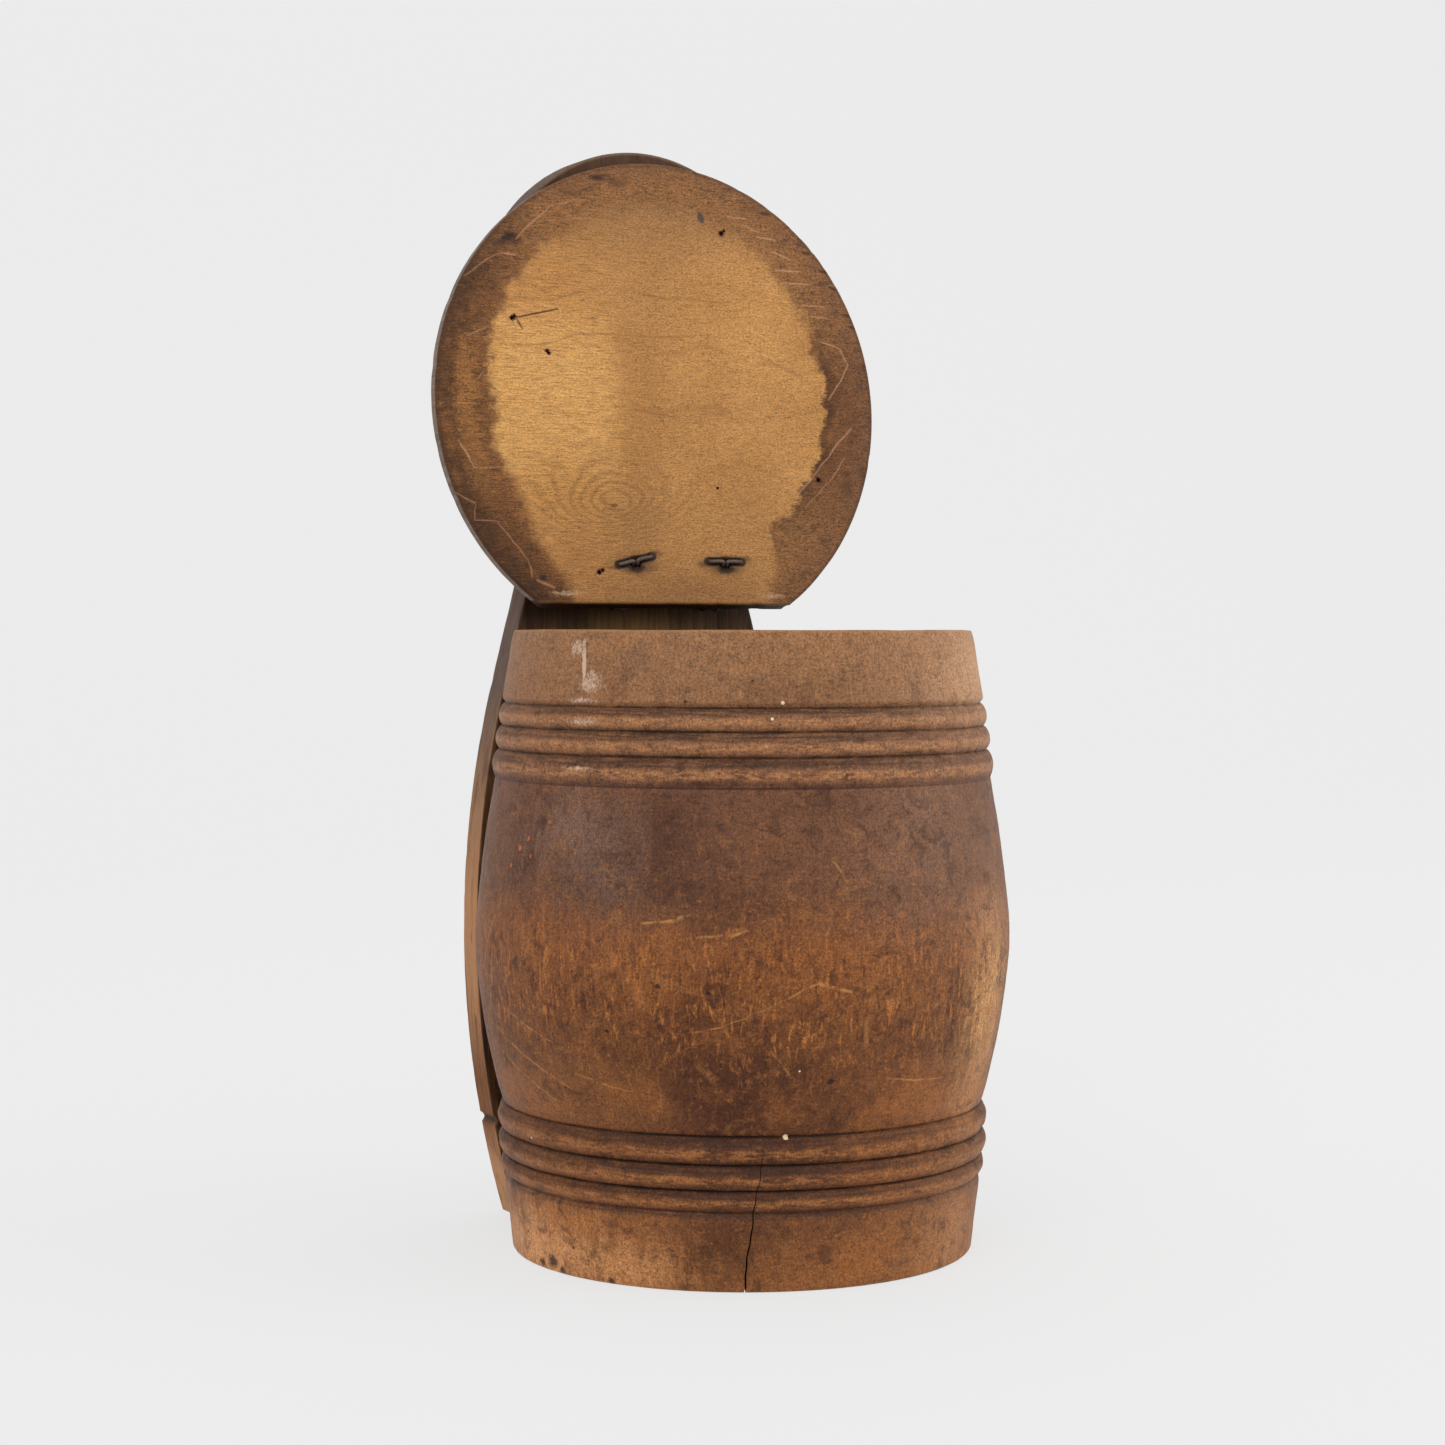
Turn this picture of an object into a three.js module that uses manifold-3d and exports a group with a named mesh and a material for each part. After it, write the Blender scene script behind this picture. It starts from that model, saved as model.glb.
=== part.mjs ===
// Lidded wooden wall keg: a turned shell round a separate bottom, a shaped back board nailed
// behind it, and a flat-backed lid that swings on two pairs of interlocked wire cotter pins.
//
// Millimetres, +Z up. The origin is the centre of the keg's base, +X is the viewer's right when
// facing the keg, and +Y points back to the wall. The lid is shown open, leaning on the board.

import * as THREE from 'three';
import { mergeVertices } from 'three/addons/utils/BufferGeometryUtils.js';
import Module from 'manifold-3d';

const wasm = await Module();
wasm.setup();

// ---- Driving dimensions ----

const gap = 0.3; // clearance between neighbouring pieces

// Keg shell
const kegHeight = 173;
const boreRadius = 54;
const backFlatY = 63.7; // the shell's back is planed flat here
const bottomThickness = 8;
const bottomInset = 8; // height of the bottom's underside above the foot
const bottomRadius = 56; // its edge stands in a groove in the shell
const shellFacets = 72;

// Back board
const boardFrontY = 64;
const boardThickness = 10.5;
const boardX = -1.6; // the board is nailed on a little to the left of the keg's axis
const boardHeight = 315.3;
const boardHeadRadius = 48.1;
const boardSideTopZ = 159; // where the curved sides run straight on to the neck
const boardBellyZ = 85; // height of the widest place
const boardHalfWidth = 52.45;
const boardSideRadius = 298;
const neckFilletRadius = 60;
const hangingHoleRadius = 5;
const hangingHoleZ = 296;

// Lid
const lidX = 0.7;
const lidRadius = 72;
const lidChord = 58.95; // distance from the lid's centre to its straight back edge
const lidChordBevel = THREE.MathUtils.degToRad(12); // the back edge runs out towards the outer face
const lidEdgeThickness = 5;
const lidBossThickness = 8;
const lidBossRadius = 49;
const lidBossFootRadius = 54.5;
const lidLean = THREE.MathUtils.degToRad(3.8); // past upright, when open
const lidOpenTurn = Math.PI / 2 + lidLean;

// Hinges
const pivotY = 55.75;
const pivotZ = 180.5;
const chordBehindPivot = 0.45; // the lid's back edge, with the lid shut
const hingeXs = { left: -9.6, right: 20.1 };
const clinchTilt = { left: 0.23, right: 0 }; // how far each pair of bent ends is turned, in radians
const wireRadius = 0.65;
const eyeRadius = 1.6;
const legSpacing = 1.9;
const exitFromPivot = 12.35; // where the lid's cotters come out below, forward of the pivot
const clinchReach = 4.3; // length of the bent ends
const seatReach = clinchReach + 1.4; // half the length of the seats that they lie in
const clinchProud = 0.25; // how far the bent ends' middle stands below the lid
const tipDepth = 1.5; // how far their tips are driven back into the lid

// Nails
const nailLength = 17;
const nailRadius = 1.2;
const nailHeadRadius = 2.8;
const nailHeadThickness = 1.2;
const nailX = 15;
const nailZs = { upper: 133, lower: 38 };

// ---- Solids ----

function solidOf(geometry) {
  const bare = geometry.clone();
  bare.deleteAttribute('normal');
  bare.deleteAttribute('uv');
  const merged = mergeVertices(bare, 1e-4);
  const index = merged.index.array;
  const triangles = [];
  for (let i = 0; i < index.length; i += 3) {
    const [a, b, c] = [index[i], index[i + 1], index[i + 2]];
    if (a !== b && b !== c && c !== a) triangles.push(a, b, c);
  }
  const mesh = new wasm.Mesh({
    numProp: 3,
    vertProperties: new Float32Array(merged.attributes.position.array),
    triVerts: new Uint32Array(triangles),
  });
  return new wasm.Manifold(mesh);
}

function geometryOf(solid) {
  const mesh = solid.getMesh();
  const geometry = new THREE.BufferGeometry();
  geometry.setAttribute('position', new THREE.BufferAttribute(mesh.vertProperties, 3));
  geometry.setIndex(new THREE.BufferAttribute(mesh.triVerts, 1));
  geometry.computeVertexNormals();
  return geometry;
}

function cut(geometry, tools) {
  let solid = solidOf(geometry);
  for (const tool of tools) {
    solid = solid.subtract(solidOf(tool));
  }
  return geometryOf(solid);
}

function turned(profile, segments) {
  return new THREE.LatheGeometry(profile, segments).rotateX(Math.PI / 2);
}

function arcPoints(centreX, centreY, radius, startAngle, endAngle, steps) {
  const clockwise = endAngle < startAngle;
  const arc = new THREE.EllipseCurve(centreX, centreY, radius, radius, startAngle, endAngle, clockwise);
  return arc.getPoints(steps);
}

// A rod of round section from one point to another
function rod(from, to, radius, sides = 16) {
  const along = new THREE.Vector3().subVectors(to, from);
  const geometry = new THREE.CylinderGeometry(radius, radius, along.length(), sides);
  const turn = new THREE.Quaternion();
  turn.setFromUnitVectors(new THREE.Vector3(0, 1, 0), along.clone().normalize());
  const middle = from.clone().add(to).multiplyScalar(0.5);
  return geometry.applyQuaternion(turn).translate(middle.x, middle.y, middle.z);
}

// A round wire bent through the given points
function wire(points, steps) {
  const section = new THREE.Shape(arcPoints(0, 0, wireRadius, 0, 2 * Math.PI, 10).slice(0, -1));
  const route = new THREE.CatmullRomCurve3(points, false, 'centripetal');
  return new THREE.ExtrudeGeometry(section, { steps, extrudePath: route, bevelEnabled: false });
}

// A round-ended slot that runs along +Z from the origin, its long way across along X
function slot(halfSpread, radius, length) {
  const outline = new THREE.Shape([
    ...arcPoints(halfSpread, 0, radius, -Math.PI / 2, Math.PI / 2, 8),
    ...arcPoints(-halfSpread, 0, radius, Math.PI / 2, 1.5 * Math.PI, 8),
  ]);
  return new THREE.ExtrudeGeometry(outline, { depth: length, bevelEnabled: false });
}

function piece(name, geometry, colour, roughness, metalness = 0) {
  const material = new THREE.MeshStandardMaterial({ color: colour, roughness, metalness });
  const mesh = new THREE.Mesh(geometry, material);
  mesh.name = name;
  return mesh;
}

// ---- Keg shell and bottom ----

// A turned bead between two grooves, bulging outwards
function bead(bottomZ, topZ, grooveBelow, peak, grooveAbove) {
  return new THREE.SplineCurve([
    new THREE.Vector2(grooveBelow, bottomZ),
    new THREE.Vector2(peak - 0.25, bottomZ + 0.25 * (topZ - bottomZ)),
    new THREE.Vector2(peak, bottomZ + 0.52 * (topZ - bottomZ)),
    new THREE.Vector2(peak - 0.3, bottomZ + 0.8 * (topZ - bottomZ)),
    new THREE.Vector2(grooveAbove, topZ),
  ]).getPoints(6);
}

function shellOutside() {
  const foot = [
    ...arcPoints(63.2, 1.4, 1.4, -Math.PI / 2, 0, 4),
    new THREE.Vector2(65.4, 9.5),
    new THREE.Vector2(66.65, 20.5),
  ];
  const lowerBeads = [
    ...bead(21.5, 27.1, 66.4, 67.8, 66.7),
    ...bead(27.1, 33.9, 66.7, 68.5, 67.3).slice(1),
    ...bead(33.9, 41.4, 67.3, 68.65, 67.1).slice(1),
  ];
  const belly = new THREE.SplineCurve([
    new THREE.Vector2(67.5, 41.8),
    new THREE.Vector2(69.2, 48.5),
    new THREE.Vector2(72.3, 63),
    new THREE.Vector2(74.5, 78.7),
    new THREE.Vector2(74.95, 88),
    new THREE.Vector2(74.35, 97.6),
    new THREE.Vector2(72, 116.6),
    new THREE.Vector2(69.4, 132),
  ]).getPoints(18);
  const upperBeads = [
    ...bead(132.4, 139.8, 68.9, 70.15, 68.1),
    ...bead(139.8, 146.4, 68.1, 69.25, 67.2).slice(1),
    ...bead(146.4, 151.6, 67.2, 68.25, 66.8).slice(1),
  ];
  const topBand = [
    new THREE.Vector2(66, 152.7),
    new THREE.Vector2(67.2, 154.2),
    new THREE.Vector2(66.05, 161.5),
    new THREE.Vector2(64.85, 169.5),
    ...arcPoints(63.6, kegHeight - 0.5, 0.5, 0, Math.PI / 2, 2),
  ];
  return [...foot, ...lowerBeads, ...belly, ...upperBeads, ...topBand];
}

function nailHole(side, z) {
  const shaftFrom = new THREE.Vector3(side * nailX, boardFrontY + boardThickness - nailLength - 1, z);
  const shaftTo = new THREE.Vector3(side * nailX, boardFrontY + boardThickness + 1, z);
  return rod(shaftFrom, shaftTo, nailRadius + gap);
}

function nailHoles() {
  return Object.values(nailZs).flatMap((z) => [nailHole(-1, z), nailHole(1, z)]);
}

function kegBody() {
  const grooveTop = bottomInset + bottomThickness + gap;
  const grooveBottom = bottomInset - gap;
  const inside = [
    ...arcPoints(boreRadius + 1.2, kegHeight - 1.2, 1.2, Math.PI / 2, Math.PI, 3),
    new THREE.Vector2(boreRadius, grooveTop),
    new THREE.Vector2(bottomRadius + gap, grooveTop),
    new THREE.Vector2(bottomRadius + gap, grooveBottom),
    new THREE.Vector2(boreRadius + 0.5, grooveBottom),
    new THREE.Vector2(boreRadius + 1.5, 0),
  ];
  const outside = shellOutside();
  const profile = [...outside, ...inside, outside[0].clone()];
  const behind = new THREE.BoxGeometry(160, 20, 200).translate(0, backFlatY + 10, 100);
  return cut(turned(profile, shellFacets), [behind, ...nailHoles()]);
}

function bottomDisc() {
  const bevel = 1;
  const top = bottomInset + bottomThickness;
  return turned([
    new THREE.Vector2(0, bottomInset),
    new THREE.Vector2(bottomRadius - bevel, bottomInset),
    new THREE.Vector2(bottomRadius, bottomInset + bevel),
    new THREE.Vector2(bottomRadius, top - bevel),
    new THREE.Vector2(bottomRadius - bevel, top),
    new THREE.Vector2(0, top),
  ], 64);
}

// ---- Back board ----

// The right half of the outline from the foot up to the top of the head, as x and height
function boardHalfOutline() {
  const headZ = boardHeight - boardHeadRadius;
  const sideX = boardHalfWidth - boardSideRadius;
  const lean = Math.asin((boardSideTopZ - boardBellyZ) / boardSideRadius);
  const footAngle = Math.asin(-boardBellyZ / boardSideRadius);
  const side = arcPoints(sideX, boardBellyZ, boardSideRadius, footAngle, lean, 16);
  // The hollow of the neck touches the side's tangent line and the head's circle.
  const last = side[side.length - 1];
  const tangent = new THREE.Vector2(-Math.sin(lean), Math.cos(lean));
  const outwards = new THREE.Vector2(Math.cos(lean), Math.sin(lean));
  const reach = boardHeadRadius + neckFilletRadius;
  const lineStart = last.clone().addScaledVector(outwards, neckFilletRadius);
  const toHead = new THREE.Vector2(lineStart.x, lineStart.y - headZ);
  const along = toHead.dot(tangent);
  const travel = -along - Math.sqrt(along * along - toHead.lengthSq() + reach * reach);
  const neck = lineStart.clone().addScaledVector(tangent, travel);
  const toHeadAngle = Math.atan2(headZ - neck.y, -neck.x);
  const neckArc = arcPoints(neck.x, neck.y, neckFilletRadius, Math.PI + lean, toHeadAngle, 10);
  const headStart = Math.atan2(neck.y - headZ, neck.x);
  const head = arcPoints(0, headZ, boardHeadRadius, headStart, Math.PI / 2, 20);
  return [...side, ...neckArc, ...head.slice(1)];
}

function backBoard() {
  const right = boardHalfOutline();
  const left = right.slice(0, -1).reverse().map((point) => new THREE.Vector2(-point.x, point.y));
  const outline = new THREE.Shape([...right, ...left]);
  const hole = arcPoints(0, hangingHoleZ, hangingHoleRadius, 0, 2 * Math.PI, 24).slice(0, -1);
  outline.holes.push(new THREE.Path(hole));
  const backY = boardFrontY + boardThickness;
  const plank = new THREE.ExtrudeGeometry(outline, { depth: boardThickness, bevelEnabled: false });
  plank.rotateX(Math.PI / 2).translate(boardX, backY, 0);
  const tools = nailHoles();
  for (const z of Object.values(nailZs)) {
    for (const side of [-1, 1]) {
      const headFrom = new THREE.Vector3(side * nailX, backY - nailHeadThickness - 2 * gap, z);
      const headTo = new THREE.Vector3(side * nailX, backY + 1, z);
      tools.push(rod(headFrom, headTo, nailHeadRadius + gap));
    }
  }
  for (const x of Object.values(hingeXs)) {
    const channel = slot(legSpacing / 2, wireRadius + gap, boardThickness + 2);
    channel.rotateZ(Math.PI / 2).rotateX(-Math.PI / 2).translate(x, boardFrontY - 1, pivotZ);
    const seatY = backY - wireRadius - gap;
    const seatFrom = new THREE.Vector3(x, seatY, pivotZ - seatReach);
    const seatTo = new THREE.Vector3(x, seatY, pivotZ + seatReach);
    const seatMouth = new THREE.BoxGeometry(2 * (wireRadius + gap), 4, 2 * seatReach);
    seatMouth.translate(x, seatY + 2, pivotZ);
    tools.push(channel, rod(seatFrom, seatTo, wireRadius + gap), seatMouth);
  }
  return cut(plank, tools);
}

function nail() {
  const headFoot = -nailHeadThickness;
  return new THREE.LatheGeometry([
    new THREE.Vector2(0, -nailLength),
    new THREE.Vector2(nailRadius * 0.45, -nailLength + 2),
    new THREE.Vector2(nailRadius, -nailLength + 6),
    new THREE.Vector2(nailRadius, headFoot),
    new THREE.Vector2(nailHeadRadius, headFoot + 0.2),
    new THREE.Vector2(nailHeadRadius * 0.6, 0),
    new THREE.Vector2(0, 0),
  ], 16);
}

// ---- Lid, drawn shut and measured from the pivot ----

const undersideZ = kegHeight + gap - pivotZ;
const lidCentreY = chordBehindPivot - lidChord;
const shankRun = new THREE.Vector3(0, -exitFromPivot, undersideZ);
const shankWay = shankRun.clone().normalize();

// A place along a lid cotter's bent end: out from its leg, and deep into the lid
function clinchPoint(side, direction, out, deep) {
  const across = direction * (legSpacing / 2 + out);
  const turn = clinchTilt[side];
  const x = hingeXs[side] + across * Math.cos(turn);
  return new THREE.Vector3(x, -exitFromPivot - across * Math.sin(turn), undersideZ + deep);
}

function lidGeometry() {
  const profile = [
    new THREE.Vector2(0, 0),
    new THREE.Vector2(lidRadius - 1, 0),
    ...arcPoints(lidRadius - 1.6, 1.6, 1.6, -Math.PI / 4, 0, 2),
    ...arcPoints(lidRadius - 1.6, lidEdgeThickness - 1.6, 1.6, 0, Math.PI / 2, 4),
    new THREE.Vector2(lidBossFootRadius, lidEdgeThickness),
    new THREE.Vector2(lidBossRadius + 3, lidEdgeThickness + 0.8),
    new THREE.Vector2(lidBossRadius + 1, lidBossThickness - 0.7),
    new THREE.Vector2(lidBossRadius - 0.6, lidBossThickness),
    new THREE.Vector2(0, lidBossThickness),
  ];
  const disc = turned(profile, shellFacets).translate(lidX, lidCentreY, undersideZ);
  const offcut = new THREE.BoxGeometry(2 * lidRadius + 20, 40, 60).translate(0, 20, 0);
  offcut.rotateX(-lidChordBevel).translate(0, chordBehindPivot, undersideZ);
  const tools = [offcut];
  const slope = Math.atan2(exitFromPivot, -undersideZ);
  for (const side of ['left', 'right']) {
    const x = hingeXs[side];
    const channel = slot(legSpacing / 2, wireRadius + gap, shankRun.length() + 6);
    channel.rotateX(Math.PI - slope).translate(x, 0, 0);
    const swingRoom = eyeRadius + wireRadius + gap;
    const roomFrom = new THREE.Vector3(x - wireRadius - gap, 0, 0);
    const roomTo = new THREE.Vector3(x + wireRadius + gap, 0, 0);
    tools.push(channel, rod(roomFrom, roomTo, swingRoom, 32));
    const seatFrom = clinchPoint(side, -1, clinchReach, -clinchProud);
    const seatTo = clinchPoint(side, 1, clinchReach, -clinchProud);
    tools.push(rod(seatFrom, seatTo, wireRadius + gap));
    for (const direction of [-1, 1]) {
      const mouth = clinchPoint(side, direction, clinchReach, -2);
      const floor = clinchPoint(side, direction, clinchReach, tipDepth + 2 * gap);
      tools.push(rod(mouth, floor, wireRadius + gap));
    }
  }
  return cut(disc, tools);
}

// One leg of a lid cotter, from the middle of its loop to the bent end under the lid
function lidCotterLeg(side, direction) {
  const x = hingeXs[side];
  const place = (across, down) => {
    const point = shankWay.clone().multiplyScalar(down);
    point.x = x + direction * across;
    return point;
  };
  const half = legSpacing / 2;
  const last = shankRun.length();
  return [
    place(1.1, 0.28), place(1.62, 0.9), place(1.55, 1.9), place(half + 0.1, 3.4),
    place(half, 5), place(half, last - 3), place(half + 0.1, last - 1),
    clinchPoint(side, direction, 0.9, -clinchProud),
    clinchPoint(side, direction, clinchReach - 0.9, -clinchProud),
    clinchPoint(side, direction, clinchReach - 0.1, 0.3 - clinchProud),
    clinchPoint(side, direction, clinchReach, tipDepth),
  ];
}

function lidCotter(side) {
  const top = new THREE.Vector3(hingeXs[side], 0, 0);
  const points = [...lidCotterLeg(side, -1).reverse(), top, ...lidCotterLeg(side, 1)];
  return wire(points, 72);
}

// ---- Board cotters: an eye round the pivot, two legs through the board, ends bent flat behind ----

function boardCotter(x) {
  const half = legSpacing / 2;
  const seatY = boardFrontY + boardThickness - wireRadius - gap - pivotY;
  const leg = [
    new THREE.Vector3(x, seatY, clinchReach + half),
    new THREE.Vector3(x, seatY, half + 0.9),
    new THREE.Vector3(x, seatY - 0.9, half + 0.05),
    new THREE.Vector3(x, seatY - 3, half),
    new THREE.Vector3(x, 6, half),
    new THREE.Vector3(x, 2.6, half + 0.05),
  ];
  const eye = arcPoints(0, 0, eyeRadius, 0.3 * Math.PI, 1.7 * Math.PI, 10);
  const eyePoints = eye.map((point) => new THREE.Vector3(x, point.x, point.y));
  const back = leg.map((point) => new THREE.Vector3(point.x, point.y, -point.z)).reverse();
  return wire([...leg, ...eyePoints, ...back], 72).translate(0, pivotY, pivotZ);
}

// ---- Assembly ----

const shellBrown = 0x4f3324;
const boardBrown = 0x5a3d2b;
const lidOchre = 0x9c6b3c;
const ironBrown = 0x3a3230;

const keg = new THREE.Group();
keg.add(piece('keg_body', kegBody(), shellBrown, 0.6));
keg.add(piece('bottom_disc', bottomDisc(), 0x7a5a3c, 0.8));
keg.add(piece('back_board', backBoard(), boardBrown, 0.7));

for (const [level, z] of Object.entries(nailZs)) {
  for (const [side, x] of Object.entries({ left: -nailX, right: nailX })) {
    const mesh = piece(`board_nail_${level}_${side}`, nail(), ironBrown, 0.55, 0.8);
    mesh.position.set(x, boardFrontY + boardThickness - gap, z);
    keg.add(mesh);
  }
}

const lidAssembly = new THREE.Group();
lidAssembly.position.set(0, pivotY, pivotZ);
lidAssembly.rotation.x = -lidOpenTurn;
lidAssembly.add(piece('lid', lidGeometry(), lidOchre, 0.65));

for (const [side, x] of Object.entries(hingeXs)) {
  keg.add(piece(`board_cotter_${side}`, boardCotter(x), ironBrown, 0.5, 0.85));
  lidAssembly.add(piece(`lid_cotter_${side}`, lidCotter(side), ironBrown, 0.5, 0.85));
}
keg.add(lidAssembly);

export default keg;
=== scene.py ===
"""The looks of an old turned keg with a hinged lid and a shaped board behind it.

Lengths are millimetres in the CAD frame, and are turned into metres when a mesh is made.
Angles round the keg are degrees: 0 is the front, and they grow towards the viewer's right.
"""
import math

import bpy
import numpy as np
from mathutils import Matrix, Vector, noise


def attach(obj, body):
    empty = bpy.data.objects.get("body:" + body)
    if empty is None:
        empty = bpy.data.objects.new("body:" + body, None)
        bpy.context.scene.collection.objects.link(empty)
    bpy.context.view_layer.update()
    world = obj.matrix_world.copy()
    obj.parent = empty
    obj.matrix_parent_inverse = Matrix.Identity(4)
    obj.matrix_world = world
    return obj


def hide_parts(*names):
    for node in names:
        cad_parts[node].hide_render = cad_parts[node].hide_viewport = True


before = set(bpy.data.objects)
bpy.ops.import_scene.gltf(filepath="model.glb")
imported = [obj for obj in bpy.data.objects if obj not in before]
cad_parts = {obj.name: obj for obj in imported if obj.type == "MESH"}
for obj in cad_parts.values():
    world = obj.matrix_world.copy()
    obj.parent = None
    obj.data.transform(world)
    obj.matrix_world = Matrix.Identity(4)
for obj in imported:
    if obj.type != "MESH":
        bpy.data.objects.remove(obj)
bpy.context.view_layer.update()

MM = 0.001

# Keg shell
KEG_HEIGHT = 173
WORKING_RADIUS = 66  # where an angle round the shell is taken as a length
WIDEST_RADIUS = 74.93
BORE_RADIUS = 54
BORE_LIP = 1.4
BACK_FLAT_Y = 63.7

# Bottom
BOTTOM_LOW = 8
BOTTOM_HIGH = 16
BOTTOM_RADIUS = 56
GROOVE_PLAY = 0.3

# Back board
BOARD_FRONT_Y = 64
BOARD_THICKNESS = 10.5
BOARD_BACK_Y = BOARD_FRONT_Y + BOARD_THICKNESS
BOARD_X = -1.6
BOARD_HEIGHT = 315.3
BOARD_HEAD_RADIUS = 48.1
BOARD_HEAD_Z = BOARD_HEIGHT - BOARD_HEAD_RADIUS
BOARD_SIDE_TOP_Z = 159
BOARD_BELLY_Z = 85
BOARD_HALF_WIDTH = 52.45
BOARD_SIDE_RADIUS = 298
NECK_FILLET_RADIUS = 60
HANGING_HOLE_RADIUS = 5
HANGING_HOLE_Z = 296
NICK_Z = 28.6

# Lid
LID_X = 0.7
LID_RADIUS = 72
LID_CHORD = 58.95
LID_EDGE = 5
LID_BOSS = 8
LID_BOSS_RADIUS = 49
LID_BOSS_FOOT = 54.5
LID_CHORD_BEVEL = math.radians(12)
SCRIBED_RADII = (43, 64)
LID_LEAN = math.radians(3.8)
LEAN_SINE, LEAN_COSINE = math.sin(LID_LEAN), math.cos(LID_LEAN)

# Hinges
PIVOT_Y = 55.75
PIVOT_Z = 180.5
CHORD_BEHIND_PIVOT = 0.45
LID_GAP = 0.3
PIVOT_DEPTH = PIVOT_Z - KEG_HEIGHT - LID_GAP  # from the lid's underside to the hinge axis
HINGE_X = {"left": -9.6, "right": 20.1}
CLINCH_TILT = {"left": 0.23, "right": 0.0}
WIRE_RADIUS = 0.65
BOARD_SEAT_Y = BOARD_BACK_Y - WIRE_RADIUS - LID_GAP  # middle of the wires bent over behind the board
EYE_RADIUS = 1.6
BOARD_SEAT_RADIUS = 1.15
BOARD_HINGE_HOLE_RADIUS = 1.9
LEG_SPACING = 1.9
HALF_SPACING = LEG_SPACING / 2
EXIT_FROM_PIVOT = 12.35
CLINCH_REACH = 4.3
SEAT_REACH = CLINCH_REACH + 1.4
CLINCH_PROUD = 0.25
TIP_DEPTH = 1.5

# Nails
NAIL_LENGTH = 17
NAIL_X = 15
NAIL_Z = {"upper": 133, "lower": 38}
NAIL_SINK_RADIUS = 3.1
NAIL_SINK_DEPTH = 1.7


# ---- Mesh helpers ----

def add_object(name, data):
    """A new object in the scene's own collection."""
    piece = bpy.data.objects.new(name, data)
    bpy.context.scene.collection.objects.link(piece)
    return piece


def make_object(name, points, faces, body, material, replaced, crease=35):
    """A smooth-shaded piece from points in millimetres, bound to its CAD body and material slot."""
    mesh = bpy.data.meshes.new(name)
    mesh.from_pydata([tuple(point) for point in np.asarray(points) * MM], [], faces)
    mesh.validate()
    mesh.polygons.foreach_set("use_smooth", [True] * len(mesh.polygons))
    mesh.set_sharp_from_angle(angle=math.radians(crease))
    mesh.materials.append(material)
    piece = add_object(name, mesh)
    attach(piece, body)
    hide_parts(replaced)
    return piece


def grain_noise(x, y, z, size, seed=0):
    """Smooth noise from 0 to 1 with features of the given size, at each point."""
    place = np.stack(np.broadcast_arrays(x, y, z), -1).reshape(-1, 3) / size + 37.7 * seed
    values = [noise.noise(point) for point in place.tolist()]
    return np.clip(0.5 + 0.6 * np.array(values), 0, 1).reshape(np.broadcast(x, y, z).shape)


def smooth_line(points, per_span):
    """A Catmull-Rom curve through the points."""
    points = np.asarray(points, float)
    ends = np.vstack([2 * points[0] - points[1], points, 2 * points[-1] - points[-2]])
    steps = np.linspace(0, 1, per_span, endpoint=False)[:, None]
    spans = []
    for a, b, c, d in zip(ends, ends[1:], ends[2:], ends[3:]):
        linear = (c - a) * steps
        square = (2 * a - 5 * b + 4 * c - d) * steps**2
        cube = (3 * b - a - 3 * c + d) * steps**3
        spans.append(b + 0.5 * (linear + square + cube))
    spans.append(points[-1:])
    return np.vstack(spans)


def arc(centre, radius, start, end, count):
    """Points on a circle, angles in radians."""
    angles = np.linspace(start, end, count)
    return np.stack([centre[0] + radius * np.cos(angles), centre[1] + radius * np.sin(angles)], -1)


def hump(value, centre, width):
    """1 at the centre, falling off smoothly over the given width."""
    return np.exp(-(((value - centre) / width) ** 2))


def smoothstep(value, low, high):
    """0 below low and 1 above high, with a soft step between."""
    ratio = np.clip((value - low) / (high - low), 0, 1)
    return ratio * ratio * (3 - 2 * ratio)


def rounded_off(to_edge, rounding):
    """How far a rounded edge has fallen away, by the distance in from it."""
    slack = np.clip(to_edge, 0, rounding)
    return rounding - np.sqrt(rounding**2 - (rounding - slack) ** 2)


def ring_faces(rows, columns, close_rows):
    """Quads over a grid that closes round its columns, and round its rows too if asked."""
    faces = []
    for row in range(rows if close_rows else rows - 1):
        following = (row + 1) % rows
        for column in range(columns):
            beside = (column + 1) % columns
            faces.append((row * columns + column, row * columns + beside,
                          following * columns + beside, following * columns + column))
    return faces


def capped_faces(rows, columns):
    """The faces of a tube of quads with a flat cap on each end."""
    faces = ring_faces(rows, columns, False)
    faces.append(tuple(reversed(range(columns))))
    faces.append(tuple(range((rows - 1) * columns, rows * columns)))
    return faces


def carve(piece, cutters):
    """Cuts closed tool meshes, given as (points in millimetres, faces), out of a piece."""
    points, faces = [], []
    for tool_points, tool_faces in cutters:
        start = len(points)
        points.extend(tuple(point) for point in np.asarray(tool_points) * MM)
        faces.extend(tuple(index + start for index in face) for face in tool_faces)
    mesh = bpy.data.meshes.new("cutters")
    mesh.from_pydata(points, [], faces)
    tool = add_object("cutters", mesh)
    modifier = piece.modifiers.new("carve", "BOOLEAN")
    modifier.operation = "DIFFERENCE"
    modifier.solver = "EXACT"
    modifier.use_self = True
    modifier.object = tool
    carved = bpy.data.meshes.new_from_object(piece.evaluated_get(bpy.context.evaluated_depsgraph_get()))
    piece.modifiers.remove(modifier)
    piece.data = carved
    bpy.data.objects.remove(tool)


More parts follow.
